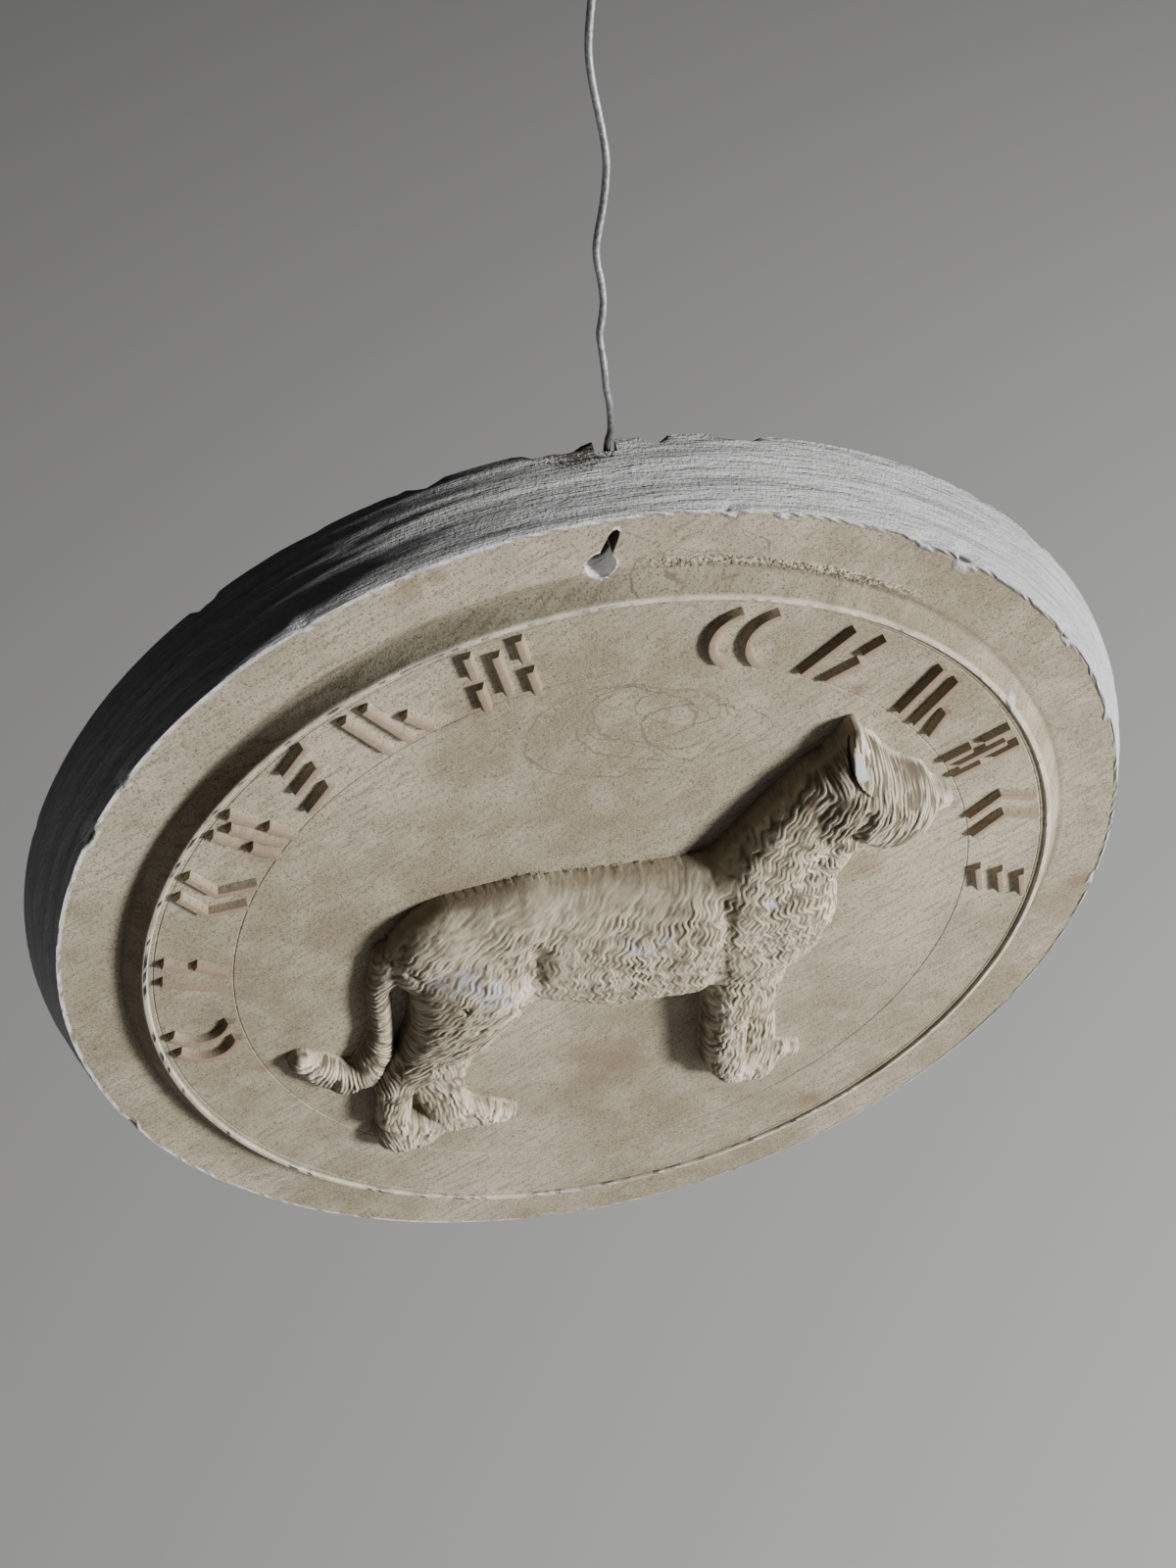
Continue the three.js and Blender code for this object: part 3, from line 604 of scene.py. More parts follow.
# Places rubbed down to white plaster, as x, y, radius and strength, and air pits, as x, y and radius
WORN = [(41.4, 22.9, 2.2, 0.9), (39, 10, 2.5, 0.5), (-1, 19.5, 2, 0.6), (1.5, 15.5, 2, 0.7),
        (4, 12.6, 2.4, 0.8), (8, 12.6, 2.4, 0.8), (12, 15.5, 2.4, 0.6), (-50, 11, 4.5, 0.5),
        (-43, 10, 5, 0.6), (-36, 6, 5, 0.75), (-31, 2.5, 3.5, 0.6)]
PITS = [(-62.6, 15.6, 0.8), (-61, 14.6, 0.6), (-57, 12.5, 1), (-55.6, 12, 0.7), (-44.3, 0.6, 0.8),
        (-43.4, -0.4, 0.7), (-42.6, 1, 0.5), (-40, -11, 0.7), (-39, -10.2, 0.6)]

# Tufts that the patina leaves light: the ridge of the face, the throat, the paws and the end of the tail
PALE = [(66, 71.5, 2.5, 0.7), (69, 67.5, 3, 0.7), (74, 63.5, 3, 0.7), (79, 59.5, 3.5, 0.8),
        (85, 53, 3.5, 0.5), (90, 45, 5, 0.65), (84, 44, 5, 0.3), (55, 33, 5, 0.6), (62, 22, 5, 0.5),
        (60, 10, 4, 0.4), (38, -69, 4.5, 0.7), (45, -66, 3, 0.4), (54, -65, 4.5, 0.8), (-58, -71, 5, 0.6),
        (-64, -66, 3, 0.4), (-36, -71, 5.5, 0.8), (-44, -66, 4, 0.5), (-86, -28, 5, 0.8),
        (-79, -32, 4.5, 0.6), (-28, 0, 4, 0.5), (-30, -8, 3, 0.4), (-38, -24, 3, 0.3), (31, -28, 4, 0.3)]


def off_line(points, x, y):
    """The distance of each place from a line of points, and on which side it lies (1 on the right)."""
    best = np.full(x.shape, np.inf)
    side = np.ones(x.shape)
    for (ax, ay), (bx, by) in zip(points, points[1:]):
        dx, dy = bx - ax, by - ay
        share = np.clip(((x - ax) * dx + (y - ay) * dy) / (dx ** 2 + dy ** 2), 0, 1)
        off = np.hypot(x - ax - dx * share, y - ay - dy * share)
        side = np.where(off < best, np.sign(dx * (y - ay) - dy * (x - ax)), side)
        best = np.minimum(best, off)
    return best, side


def swelling(full, stations, x, y):
    """How high a part stands over the field: steep at its edge, rounded on top, and sunk outside."""
    x, z = x / PERCENT, (y - DOG_GROUND) / PERCENT
    best = np.full(x.shape, np.inf)
    radius, rise, total = np.zeros(x.shape), np.zeros(x.shape), np.zeros(x.shape)
    for (ax, az, ar, ah), (bx, bz, br, bh) in zip(stations, stations[1:]):
        dx, dz = bx - ax, bz - az
        share = np.clip(((x - ax) * dx + (z - az) * dz) / (dx ** 2 + dz ** 2), 0, 1)
        here = ar + (br - ar) * share
        depth = np.hypot(x - ax - dx * share, z - az - dz * share) / here
        weight = 1 / (depth + 0.1) ** 8
        best = np.minimum(best, depth)
        radius += weight * here
        rise += weight * (ah + (bh - ah) * share)
        total += weight
    radius, rise = radius / total, rise / total
    inside = np.clip(1 - best ** full, 0, None)
    return PERCENT * np.where(inside > 0, rise * inside ** ROUNDED, -SUNK * (best - 1) * radius)


def dog_form(x, y):
    """The dog's surface above the field without its coat."""
    height = np.full(x.shape, -4 * ROOT)
    for full, melt, stations in DOG.values():
        rise = swelling(full, stations, x, y)
        overlap = np.clip(1 - np.abs(height - rise) / (2 * max(melt, 0.01)), 0, 1)
        height = np.maximum(height, rise) + overlap ** 2 * max(melt, 0.01) * 0.5
    for ax, ay, bx, by, width, depth in FOLDS:
        off, _ = off_line([(ax, ay), (bx, by)], x, y)
        height = height - (height > 0) * depth * np.exp(-((off / width) ** 2))
    off, side = off_line(EAR, x, y)
    flap = EAR_STAND * np.clip(1 - off / EAR_REACH, 0, 1) * (side > 0)
    slit = EAR_SLIT_DEPTH * np.exp(-((off + (side > 0) * 3) / EAR_SLIT) ** 2)
    from_eye = np.hypot(x - EYE[0], y - EYE[1])
    eye = 0.5 * np.exp(-(((from_eye - 1.7) / 0.6) ** 2)) - 1.1 * np.exp(-((from_eye / 0.9) ** 2))
    return height + (height > 0) * (flap - slit * rising(73 - y, 0, 2) + eye)


def comb_field(x, y):
    """Which way the coat lies at each place, waves included, in radians."""
    along, across = np.zeros(x.shape), np.zeros(x.shape)
    sway, total = np.zeros(x.shape), np.zeros(x.shape)
    for gx, gy, direction, wave in COMB:
        weight = 1 / ((x - gx) ** 2 + (y - gy) ** 2 + 6) ** 2
        along += weight * math.cos(2 * math.radians(direction))
        across += weight * math.sin(2 * math.radians(direction))
        sway += weight * wave
        total += weight
    tousled = 0.18 + 0.25 * np.exp(-((x - 52) ** 2 + (y - 32) ** 2) / 150)
    lie = np.arctan2(across, along) / 2 + tousled * value_noise(31, x / 6, y / 6)
    warp = 3.2 * value_noise(32, x / 10, y / 10)
    phase = (y + 0.25 * x + warp) / WAVE + 0.1 * value_noise(33, x / 3, y / 3)
    return lie + np.radians(sway / total) * np.cos(2 * np.pi * phase)


def comb_strands(lie, inside):
    """Strands that follow the lie side by side, as samples: column, row, height and how far from the tip."""
    chooser = np.random.default_rng(COAT_SEED)
    rows, columns = inside.shape
    gap = STRAND / CARVING_STEP
    stride = STRAND_STEP / CARVING_STEP
    taken = {}

    def crowded(x, y, least):
        column, row = int(x // gap), int(y // gap)
        for i in (column - 1, column, column + 1):
            for j in (row - 1, row, row + 1):
                for px, py in taken.get((i, j), ()):
                    if (px - x) ** 2 + (py - y) ** 2 < least * least:
                        return True
        return False

    seeds = np.argwhere(inside)[:, ::-1].astype(float)
    seeds = seeds[chooser.permutation(len(seeds))[: len(seeds) // 3]]
    samples = []
    for seed_x, seed_y in seeds:
        if crowded(seed_x, seed_y, gap):
            continue
        halves = []
        for heading in (0.0, math.pi):
            x, y = seed_x, seed_y
            heading += lie[int(y), int(x)]
            half = []
            for _ in range(int(STRAND_REACH * chooser.uniform(0.3, 1))):
                turn = lie[int(y), int(x)]
                if math.cos(turn - heading) < 0:
                    turn += math.pi
                heading = turn
                x += stride * math.cos(turn)
                y += stride * math.sin(turn)
                on_grid = 1 < x < columns - 2 and 1 < y < rows - 2
                if not on_grid or not inside[int(y), int(x)] or crowded(x, y, CROWDING * gap):
                    break
                half.append((x, y))
            halves.append(half)
        line = [*reversed(halves[1]), (seed_x, seed_y), *halves[0]]
        for x, y in line:
            taken.setdefault((int(x // gap), int(y // gap)), []).append((x, y))
        height = chooser.uniform(0.6, 1.1)
        for spot, (x, y) in enumerate(line):
            tip = min(spot, len(line) - 1 - spot) / TIP_SAMPLES
            samples.append((x, y, height * (0.45 + 0.55 * min(tip, 1))))
    return np.array(samples)


def strand_ridges(samples, shape):
    """The height of the strands on the grid: 1 on a strand's back and 0 in the grooves."""
    ridges = np.zeros(shape)
    half = 0.74 * STRAND / CARVING_STEP
    between = (samples[1:] + samples[:-1]) / 2
    touching = np.hypot(*(samples[1:, :2] - samples[:-1, :2]).T) < 1.5 * STRAND_STEP / CARVING_STEP
    samples = np.concatenate([samples, between[touching]])
    column, row = np.round(samples[:, 0]).astype(int), np.round(samples[:, 1]).astype(int)
    for i in range(-3, 4):
        for j in range(-3, 4):
            off = np.hypot(column + i - samples[:, 0], row + j - samples[:, 1]) / half
            value = samples[:, 2] * np.clip(1 - off ** 2, 0, 1)
            spot = (np.clip(row + j, 0, shape[0] - 1), np.clip(column + i, 0, shape[1] - 1))
            np.maximum.at(ridges, spot, value)
    return ridges


def patches(places, x, y, seed, cell, ragged, reach, fade):
    """How strongly each place on the grid lies in one of the ragged patches."""
    strongest = np.zeros(x.shape)
    for px, py, radius, much in places:
        spread = np.hypot(x - px, y - py) / radius + ragged * value_noise(seed, x / cell, y / cell)
        strongest = np.maximum(strongest, much * rising(reach - spread, 0, fade))
    return strongest


def carve_dog():
    """The dog on a fine grid: the grid, its surface over the field, and what the patina, the painted shade
    and the painted highlight need to know.
    """
    stations = [s for _, _, part in DOG.values() for s in part]
    reach = np.array([(x - r - 2, x + r + 2, z - r - 2, z + r + 2) for x, z, r, _ in stations]) * PERCENT
    low_x, low_y = reach[:, 0].min(), reach[:, 2].min() + DOG_GROUND
    columns = int((reach[:, 1].max() - low_x) / CARVING_STEP) + 1
    rows = int((reach[:, 3].max() + DOG_GROUND - low_y) / CARVING_STEP) + 1
    x, y = np.meshgrid(low_x + CARVING_STEP * np.arange(columns), low_y + CARVING_STEP * np.arange(rows))
    form = dog_form(x, y)
    slope_y, slope_x = np.gradient(form, CARVING_STEP)
    steep = np.hypot(slope_x, slope_y)
    faces_back = (slope_x - slope_y) / (1.41 * np.maximum(steep, 0.05))
    # Steep walls that face up and back, away from the key light, carry little coat, and their colour takes
    # painted shade.
    shaded_wall = rising(steep, 1.5, 2.8) * rising(faces_back, 0.2, 0.6) * rising(np.abs(x + 4), 24, 38)
    shaded_wall = shaded_wall * rising(x, -63, -58) * rising(y, -40, -20) * rising(7 - form, 0, 3)
    ridges = strand_ridges(comb_strands(comb_field(x, y), form > 0.25), form.shape)
    off, side = off_line(EAR, x, y)
    # The ear flap's face is bare of coat and coloured pale: white plaster showing, and painted highlight
    # where the flap faces the key light.
    bare_lit_ear = (side > 0) * rising(off, 0.2, 0.6) * rising(1.1 + 2.3 * rising(71.5 - y, 0, 5) - off, 0, 0.5)
    bare_lit_ear = bare_lit_ear * rising(y + 0.6 * value_noise(20, x, y), 61.4, 62.4) * rising(71.4 - y, 0, 1)
    strength = rising(form, 0.2, 2.2) * (1 - 0.85 * shaded_wall) * (1 - 0.9 * bare_lit_ear)
    cut = np.ones(x.shape)
    for sx, sy, radius, share in COAT_SPOTS:
        cut += share * np.exp(-((x - sx) ** 2 + (y - sy) ** 2) / radius ** 2)
    tufts = cut * (0.85 + 0.4 * value_noise(15, x / 4.5, y / 6))
    rubbed = patches(WORN, x, y, 18, 2.2, 0.5, 1.2, 0.8)
    pale = patches(PALE, x, y, 22, 1.8, 0.45, 1.3, 0.9)
    crumbled = 0.45 * value_noise(23, x / 0.9, y / 0.8) + 0.4 * value_noise(24, x / 1.7, y / 1.6)
    surface = form + strength * (
        COAT_DEPTH * tufts * (ridges - 0.6) + 0.4 * value_noise(16, x / 6, y / 8)
        + 0.12 * value_noise(17, x / 1.1, y / 1.3) - 0.25 * rubbed + pale * crumbled)
    for wx, wy, radius in PITS:
        surface -= 1.5 * np.exp(-(np.hypot(x - wx, y - wy) / radius) ** 2)
    outside = np.clip(-form / 1.5, 0, None)
    crumbs = 0.42 * rising(0.9 - outside, 0, 0.8) * rising(value_noise(19, x / 1.3, y / 1.1), -0.1, 0.5)
    crumbs *= rising(-slope_y, 0.3, 1) * rising(30 - np.abs(x + 4), 0, 10)
    surface = np.where(form > 0, np.maximum(surface, 0.12), np.maximum(form, -ROOT))
    surface = np.where((form <= 0) & (crumbs > 0.06), crumbs, surface)
    on_strand = np.clip(ridges, 0, 1)
    facts = {
        "hollow": strength * np.clip(cut, 0.6, 1.5) * (1 - on_strand),
        "crest": strength * on_strand,
        "pale": pale,
        "crumb": (form <= 0) & (surface > 0.05),
        "rubbed": np.maximum(rubbed * np.clip(0.35 + ridges, 0, 1), bare_lit_ear),
        "shaded_wall": shaded_wall,
        "dog": rising(form, -0.4, 0.3),
    }
    return x, y, surface, facts


def dog_mesh(carved):
    """A closed block with the dog's surface on top and its foot sunk in the disc."""
    x, y, surface, _ = carved
    top = np.stack([x, y, FIELD + surface], -1).reshape(-1, 3)
    index = np.arange(surface.size).reshape(surface.shape)
    quads = np.stack([index[:-1, :-1], index[:-1, 1:], index[1:, 1:], index[1:, :-1]], -1).reshape(-1, 4)
    border = np.concatenate([index[0, :-1], index[:-1, -1], index[-1, :0:-1], index[:0:-1, 0]])
    foot = top[border].copy()
    foot[:, 2] = FIELD - 2 * ROOT
    first = len(top)
    ring = np.arange(len(border))
    walls = np.stack([border, first + ring, first + np.roll(ring, -1), np.roll(border, -1)], -1)
    faces = quads.tolist() + walls.tolist() + [(first + ring[::-1]).tolist()]
    relief = mesh_object("dog_relief", np.concatenate([top, foot]), faces=faces)
    thinned = relief.modifiers.new("thinned", "DECIMATE")
    thinned.ratio = CARVING_KEPT
    return made_plain(relief, relief.name)


# The keyhole was bored through the flange, the taut wire has cut a slot up from it, and a channel at the
# back lets the wire out. All three are ragged and show raw plaster.
HOLE = (0.2, 136)
HOLE_RADIUS = 3.85
SLOT_END = (4.2, 146.4)
SLOT_FLOOR = 5
CHANNEL = (2.7, 8.1)
CHANNEL_SECTION = [(140.5, -1), (160, -1), (160, 2.9), (156.5, 3.3), (146, 10.8), (140.5, 10.8)]


def ragged_plug(name, outline, low, high, roughness, rows=6):
    """A closed cutter standing on an outline, with uneven walls."""
    points = []
    middle = np.mean(outline, 0)
    for row in range(rows + 1):
        z = low + (high - low) * row / rows
        for x, y in outline:
            uneven = value_noise(21, np.float64(x * 1.3 + y), np.float64(y * 0.9 + z * 0.5))
            push = 1 + roughness * float(uneven)
            points.append((middle[0] + (x - middle[0]) * push, middle[1] + (y - middle[1]) * push, z))
    return mesh_object(name, points, faces=tube_faces(rows + 1, len(outline)))


def keyhole_cutters():
    turn = [2 * math.pi * step / 40 for step in range(40)]
    hole = [(HOLE[0] + HOLE_RADIUS * math.cos(a), HOLE[1] + HOLE_RADIUS * math.sin(a)) for a in turn]
    run, climb = SLOT_END[0] - HOLE[0], SLOT_END[1] - HOLE[1]
    across, down = climb / math.hypot(run, climb), -run / math.hypot(run, climb)
    slot = []
    for share, half in ((0, 1.75), (0.5, 1.6), (0.8, 1.35), (0.95, 0.9)):
        x, y = HOLE[0] + run * share, HOLE[1] + climb * share
        slot.append(((x + across * half, y + down * half), (x - across * half, y - down * half)))
    outline = [right for right, _ in slot] + [SLOT_END] + [left for _, left in reversed(slot)]
    corners = [(x, y, z) for x in CHANNEL for y, z in CHANNEL_SECTION]
    channel = mesh_object("wire_channel", corners, faces=tube_faces(2, len(CHANNEL_SECTION)))
    bore = ragged_plug("bore", hole, -1, FLANGE + 1, 0.03)
    cut = ragged_plug("slot", outline, SLOT_FLOOR, FLANGE + 1, 0.06)
    return [bore, cut, channel]


def facing_out(made):
    """Turns a closed mesh's faces outwards."""
    shape = bmesh.new()
    shape.from_mesh(made.data)
    bmesh.ops.recalc_face_normals(shape, faces=shape.faces)
    shape.to_mesh(made.data)
    shape.free()
    return made


def joined(body, others, operation):
    """The body with each of the others added to it or cut from it."""
    for other in others:
        facing_out(other)
        modifier = body.modifiers.new(other.name, "BOOLEAN")
        modifier.operation = operation
        modifier.solver = "MANIFOLD"
        modifier.object = other
    made = made_plain(body, body.name)
    for other in others:
        bpy.data.objects.remove(other)
    return made


def surface_facts(points, carved):
    """What the patina needs to know at each point: the dog's facts, breaks and the strokes' tops."""
    x, y, z = points[:, 0], points[:, 1], points[:, 2]
    radius = np.hypot(x, y)
    bearing = np.degrees(np.arctan2(y, x))
    grid_x, grid_y, surface, grids = carved
    column = np.clip(np.round((x - grid_x[0, 0]) / CARVING_STEP).astype(int), 0, surface.shape[1] - 1)
    row = np.clip(np.round((y - grid_y[0, 0]) / CARVING_STEP).astype(int), 0, surface.shape[0] - 1)
    above = (z > FIELD + 0.08) & (radius < MARK_FOOT + 1)
    facts = {name: grid[row, column] * above for name, grid in grids.items()}
    frayed = 0.45 * value_noise(41, np.radians(bearing) * FRONT_RADIUS / 1.8, 0 * x)
    raw = rising(radius + frayed, FRONT_RADIUS - 0.9, FRONT_RADIUS - 0.2) * (z < FLANGE + 0.5)
    raw = np.maximum(raw, z < 0.05)
    flecks = value_noise(42, np.radians(bearing) * DISC_RADIUS / 1.7, radius / 2)
    on_lip = (z > FIELD + 0.3) & (np.abs(radius - (DISC_RADIUS - LIP_WIDTH + 0.4)) < 0.35)
    raw = np.maximum(raw, 0.8 * rising(flecks, 0.1, 0.5) * on_lip)
    for edge in EDGES:
        depth, near, lost = beyond_break(edge, bearing, radius, z)
        raw = np.maximum(raw, near * rising(depth, -0.15, -0.02) * rising(lost, 0.3, 0.7))
    hole = np.hypot(x - HOLE[0], y - HOLE[1])
    facts["raw"] = np.maximum(raw, (hole < HOLE_RADIUS + 0.5) & (z < FLANGE - 0.3))
    on_strokes = (radius > MARK_FOOT - 0.5) & (radius < MARK_FOOT + MARK_HEIGHT + 1)
    facts["stroke_top"] = rising(z, FIELD + STROKE_RISE - 0.5, FIELD + STROKE_RISE - 0.1) * on_strokes
    return facts


# Marks of use on the patina, in metres: light curved scratches and brown stains, as x, height and radius
SCRATCHES = [(0.03, 0.084, 0.009), (0.035, 0.081, 0.013), (0.041, 0.086, 0.006), (0.024, 0.079, 0.015),
             (0.046, 0.077, 0.01), (0.036, 0.083, 0.0105), (0.052, 0.131, 0.007), (0.062, 0.134, 0.008)]
STAINS = [(-0.0455, 0.139, 0.0075), (-0.039, 0.141, 0.004), (0.0645, -0.103, 0.006), (0.143, -0.022, 0.006),
          (0.07, 0.01, 0.011), (0.062, -0.012, 0.009), (-0.003, -0.06, 0.02), (0.066, 0.083, 0.005),
          (-0.09, 0.062, 0.01), (-0.1, -0.03, 0.008), (-0.035, 0.1, 0.012)]


def layered(ground, *layers):
    """The ground colour with each layer's colour laid over it as far as the layer's share says."""
    for share, *colour in layers:
        ground = share.blend(ground, colour)
    return ground


def cast_plaster():
    """Beige patina over white plaster: brushed, stained, brown in the hollows, rubbed pale, raw at breaks,
    with painted shade on the dog's back walls, at the step's foot and inside the slot, and painted highlight
    along the lip and on the ear flap.
    """
    material, shader, place = new_finish("cast_plaster", roughness=0.85)
    given = {name: place.node("ShaderNodeAttribute", {"attribute_name": name}, output=2)
             for name in ("hollow", "crest", "rubbed", "pale", "crumb", "shaded_wall", "dog", "raw", "stroke_top")}
    x, y, z = place.axis(0), place.axis(1), place.axis(2)
    radius = x.far(z)
    bearing = z.maths("ARCTAN2", x)
    rim_front, field = -FLANGE * MM, -FIELD * MM
    cloudy = place.noise(14.0, 5.0, 0.6)
    mottled = place.noise(75.0, 5.0, 0.65)
    speckled = place.noise(650.0, 4.0, 0.7)
    fine = place.noise(2400.0, 3.0, 0.7)
    dotted = place.noise(1700.0, 2.0, 0.5)
    crumbly = place.noise(1150.0, 3.0, 0.6)
    brushed = place.vector((x * 0.86 + z * 0.5) * 0.13, z * 0.86 - x * 0.5).noise(750.0, 3.0, 0.6)
    ringed = place.vector(bearing * 0.006, radius, y * 2.0).noise(900.0, 3.0, 0.6)
    scraped = place.vector(bearing * 0.012, y).noise(850.0, 4.0, 0.7)
    struck = place.vector(x * 0.03 + z * 0.004, z - x * 0.13).noise(420.0, 4.0, 0.7)
    scraped = scraped + (struck - scraped) * y.above(-0.0009, -0.0004)

    patina = layered(
        cloudy.above(0.36, 0.66).blend((0.225, 0.19, 0.126), (0.41, 0.37, 0.275)),
        (mottled.above(0.42, 0.72) * 0.4, 0.49, 0.447, 0.345),
        (brushed.above(0.46, 0.7) * 0.75, 0.2, 0.168, 0.112),
        (speckled.above(0.52, 0.72) * 0.35, 0.16, 0.13, 0.088),
        (dotted.above(0.55, 0.66) * 0.75, 0.1, 0.078, 0.05),
        (fine.above(0.52, 0.7) * 0.45, 0.62, 0.57, 0.46),
    )
    flat_x = x + (mottled - 0.5) * 0.008 + z * 0.25
    flat_z = z + (cloudy - 0.5) * 0.03 + (mottled - 0.5) * 0.004
    for middle_x, middle_z, reach in SCRATCHES:
        away = ((flat_x - middle_x) * 0.62).far(flat_z - middle_z)
        line = abs(away - reach).above(0.0003, 0.00008) * mottled.above(0.42, 0.5)
        patina = (line * 0.6).blend(patina, (0.12, 0.095, 0.065))
    for middle_x, middle_z, reach in STAINS:
        away = (x - middle_x).far(z - middle_z) / reach + mottled * 1.2
        patina = (away.above(1.5, 0.7) * 0.55).blend(patina, (0.17, 0.115, 0.065))
    pitted = abs(radius - (STEP_FOOT + 2.1) * MM + (mottled - 0.5) * 0.002).above(0.0022, 0.0008)
    pitted = pitted * x.above(0.006, 0.018) * z.above(0.1, 0.12)
    pitted = pitted * y.above(rim_front + 0.0012, rim_front + 0.0002)
    # A paler ring along the lip is rubbed wear and painted highlight on the lip's edge.
    lip = abs(radius - (DISC_RADIUS - 1) * MM).above(0.0013, 0.0006) * y.above(field - 0.0001, field - 0.0004)
    # A darker ring at the foot of the step is painted shade in the corner there.
    step_foot_shade = abs(radius - (STEP_FOOT + 0.8) * MM).above(0.0016, 0.0)
    step_foot_shade = step_foot_shade * (ringed.above(0.35, 0.65) * 0.5 + 0.4)
    patina = layered(
        patina,
        (pitted * crumbly.above(0.5, 0.58) * 0.8, 0.6, 0.55, 0.44),
        (pitted * crumbly.above(0.47, 0.4) * 0.9, 0.07, 0.055, 0.038),
        # Wear and painted highlight along the lip.
        (lip * (mottled.above(0.35, 0.6) * 0.5 + 0.25), 0.64, 0.59, 0.48),
        (step_foot_shade * 0.75, 0.12, 0.092, 0.06),
    )
    colour = layered(
        given["dog"].blend(patina, mottled.above(0.3, 0.7).blend((0.31, 0.268, 0.188), (0.45, 0.4, 0.293))),
        (given["hollow"].above(0.3, 0.95) * 0.78, 0.085, 0.062, 0.038),
        (given["crest"].above(0.5, 0.95) * 0.6, 0.6, 0.545, 0.43),
        (given["pale"] * given["hollow"].above(1.0, 0.3), 0.72, 0.655, 0.55),
        (given["crumb"] * crumbly.above(0.55, 0.45), 0.075, 0.058, 0.04),
        # Painted shade on the dog's steep walls that face away from the key light.
        (given["shaded_wall"] * mottled.above(0.3, 0.6) * 0.75, 0.12, 0.092, 0.06),
        (given["stroke_top"] * 0.7, 0.26, 0.185, 0.128),
        # Pale where rubbed down to white plaster, and painted highlight on the ear flap's face.
        (given["rubbed"] * (mottled.above(0.3, 0.6) * 0.4 + 0.6), 0.47, 0.5, 0.53),
    )
    chalk = layered(
        cloudy.above(0.3, 0.7).blend((0.5, 0.51, 0.52), (0.66, 0.67, 0.68)),
        (scraped.above(0.5, 0.74) * 0.6, 0.31, 0.31, 0.305),
        (crumbly.above(0.56, 0.7) * 0.4, 0.34, 0.34, 0.335),
        (place.noise(420.0, 4.0, 0.7).above(0.55, 0.75) * 0.35, 0.8, 0.81, 0.82),
    )
    grimy = ((x + 0.001) / 0.0085) ** 2 + ((y + 0.0005) / 0.0058) ** 2 + (crumbly - 0.5) * 5.0
    grimy = grimy.above(1.2, 0.5) * z.above(0.148, 0.152)
    grime = dotted.above(0.45, 0.6).blend((0.03, 0.025, 0.02), (0.2, 0.16, 0.09))
    from_hole = (x - HOLE[0] * MM).far(z - HOLE[1] * MM)
    from_chip = (x - SLOT_END[0] * MM).far(z - SLOT_END[1] * MM) + (crumbly - 0.5) * 0.002
    torn = (from_hole + (crumbly - 0.5) * 0.0024).above(0.0043, 0.0039).most(from_chip.above(0.0011, 0.0008))
    bored = from_hole.above(0.00425, 0.00395) * y.above(rim_front, rim_front + 0.0004)
    chalk = bored.blend((grimy * 0.9).blend(chalk, grime), (0.82, 0.82, 0.8))
    colour = given["raw"].most(torn).most(bored).blend(colour, chalk)
    # Painted shade: inside the slot, the channel and the back of the bore, the plaster is darkened almost to
    # black.
    within = y.above(rim_front + 0.0003, rim_front + 0.0009) * y.above(-0.0006, -0.0012)
    within = within * radius.above(0.1497, 0.149)
    slot_shade = within * from_hole.above(0.0039, 0.0043).most(y.above(-0.0131, -0.012))
    (slot_shade * 0.96).blend(colour, (0.04, 0.028, 0.018)).feeds(shader, "Base Color")
    (mottled * 0.2 + 0.72).feeds(shader, "Roughness")
    shader.inputs["Specular IOR Level"].default_value = 0.3
    grain = (fine * 0.4 + speckled + brushed * 0.5).bumps(0.00016)
    lined = ((scraped + crumbly * 0.3) * given["raw"]).bumps(0.0014, Normal=grain)
    (crumbly * pitted).bumps(0.0012, Normal=lined).feeds(shader, "Normal")
    return material


SHARPEST = math.radians(32)

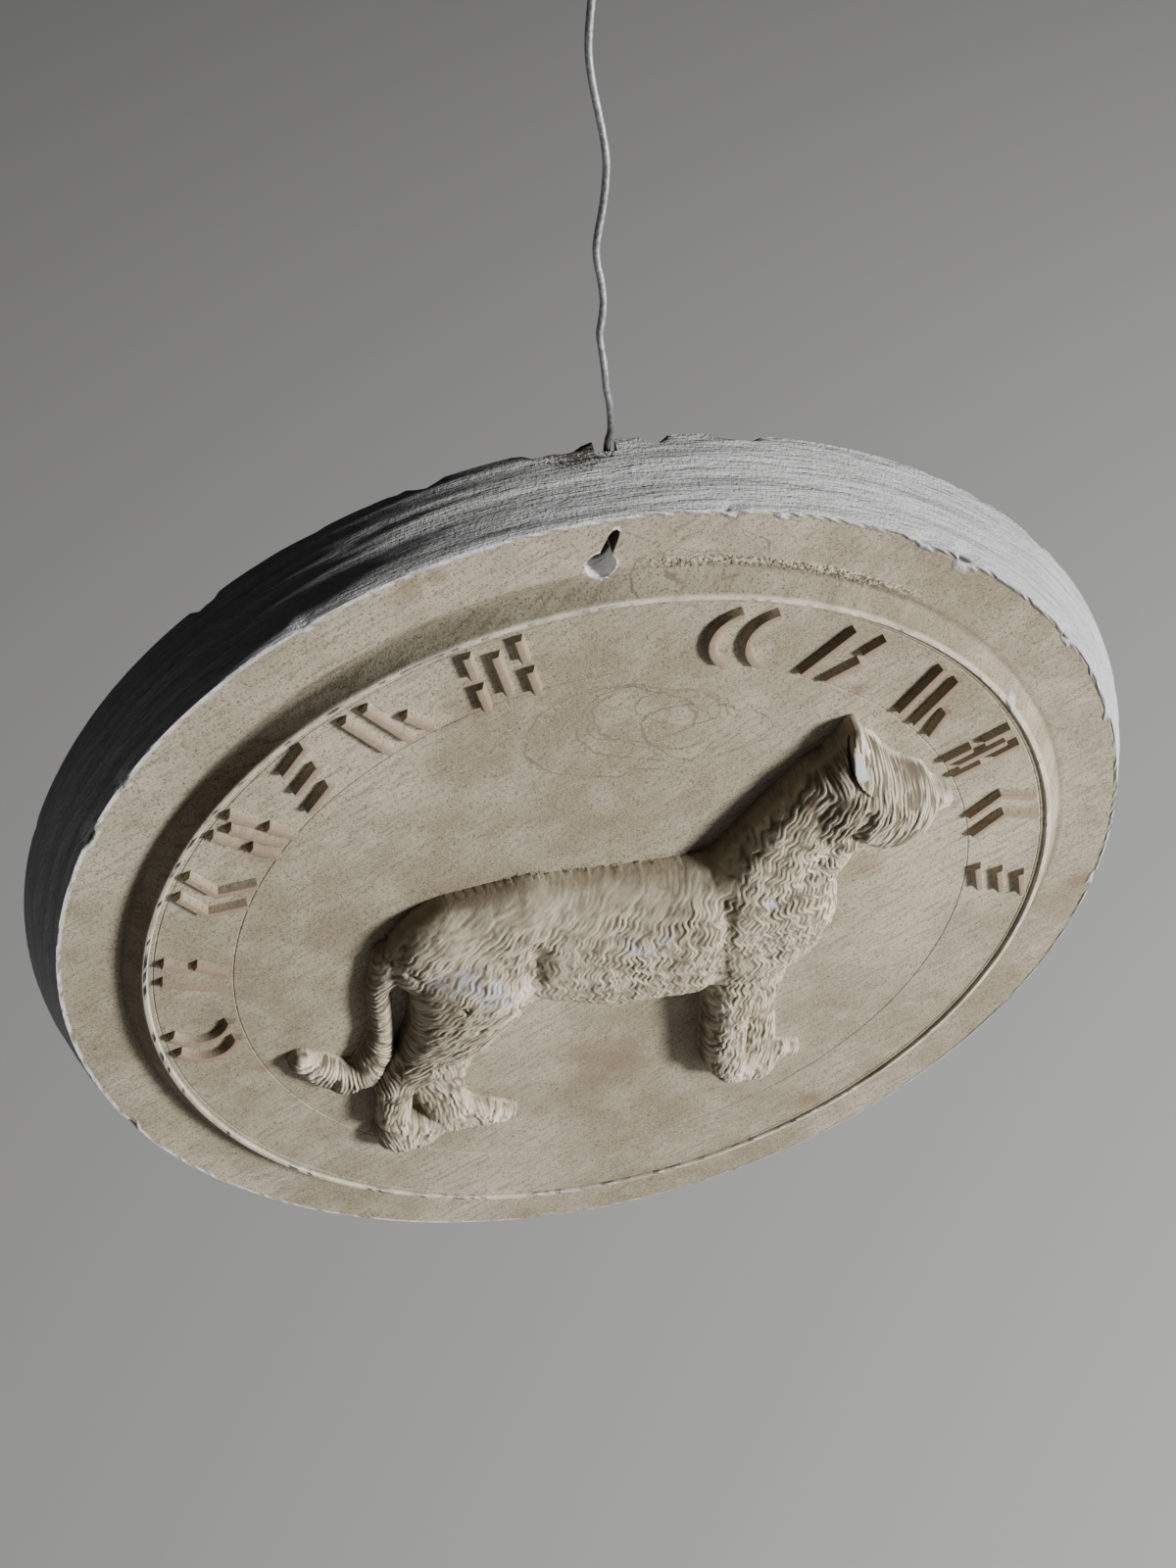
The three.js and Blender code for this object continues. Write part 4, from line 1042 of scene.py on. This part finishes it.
plaster_finish = cast_plaster()
body = facing_out(roundel_mesh())
carved = carve_dog()
cast = joined(body, [stroke_mesh(plaster_finish), dog_mesh(carved)], "UNION")
cast = joined(cast, keyhole_cutters(), "DIFFERENCE")
cast.name = "plaster_roundel_piece"
cast_points = np.zeros(3 * len(cast.data.vertices), np.float32)
cast.data.vertices.foreach_get("co", cast_points)
cast_points = cast_points.reshape(-1, 3).astype(float)
for name, values in surface_facts(cast_points, carved).items():
    attribute = cast.data.attributes.new(name, "FLOAT", "POINT")
    attribute.data.foreach_set("value", np.asarray(values, np.float32))
cast.data.transform(Matrix.Rotation(math.pi / 2, 4, "X") @ Matrix.Scale(MM, 4))
flat = np.abs(cast_points[:, 2] - FIELD) < 0.002
smooth = [not all(flat[v] for v in p.vertices) for p in cast.data.polygons]
cast.data.polygons.foreach_set("use_smooth", smooth)
cast.data.set_sharp_from_angle(angle=SHARPEST)
cast.data.materials.clear()
cast.data.materials.append(plaster_finish)
cast.data.update()
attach(cast, "root")
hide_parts("plaster_roundel")


# The stage is a pale floor under the hanging plaque, a key light from the right a little below its middle,
# which rakes the relief as in the picture, and a weak sky that keeps the shadows open.
FLOOR_HEIGHT = -0.42
FLOOR_REACH = 6
KEY_FROM = Vector((0.78, -0.61, 0.125))
KEY_DISTANCE = 2.3
KEY_SIZE = 0.5
KEY_POWER = 108
SKY_STRENGTH = 0.022

corners = [(FLOOR_REACH * x, FLOOR_REACH * y, FLOOR_HEIGHT) for x, y in ((-1, -1), (1, -1), (1, 1), (-1, 1))]
floor = mesh_object("pale_floor", corners, faces=[(0, 1, 2, 3)])
floor_finish, floor_shader, _ = new_finish("pale_floor", roughness=0.9)
floor_shader.inputs["Base Color"].default_value = (0.72, 0.72, 0.73, 1)
floor.data.materials.append(floor_finish)

key = bpy.data.lights.new("key", "AREA")
key.shape = "DISK"
key.size = KEY_SIZE
key.energy = KEY_POWER
key.color = (1.0, 0.985, 0.96)
lamp = placed("key", key)
lamp.location = KEY_FROM.normalized() * KEY_DISTANCE
lamp.rotation_euler = (-KEY_FROM).to_track_quat("-Z", "Y").to_euler()

world = bpy.data.worlds.new("studio")
bpy.context.scene.world = world
world.use_nodes = True
sky = world.node_tree.nodes["Background"]
sky.inputs["Color"].default_value = (1.0, 0.99, 0.98, 1)
sky.inputs["Strength"].default_value = SKY_STRENGTH
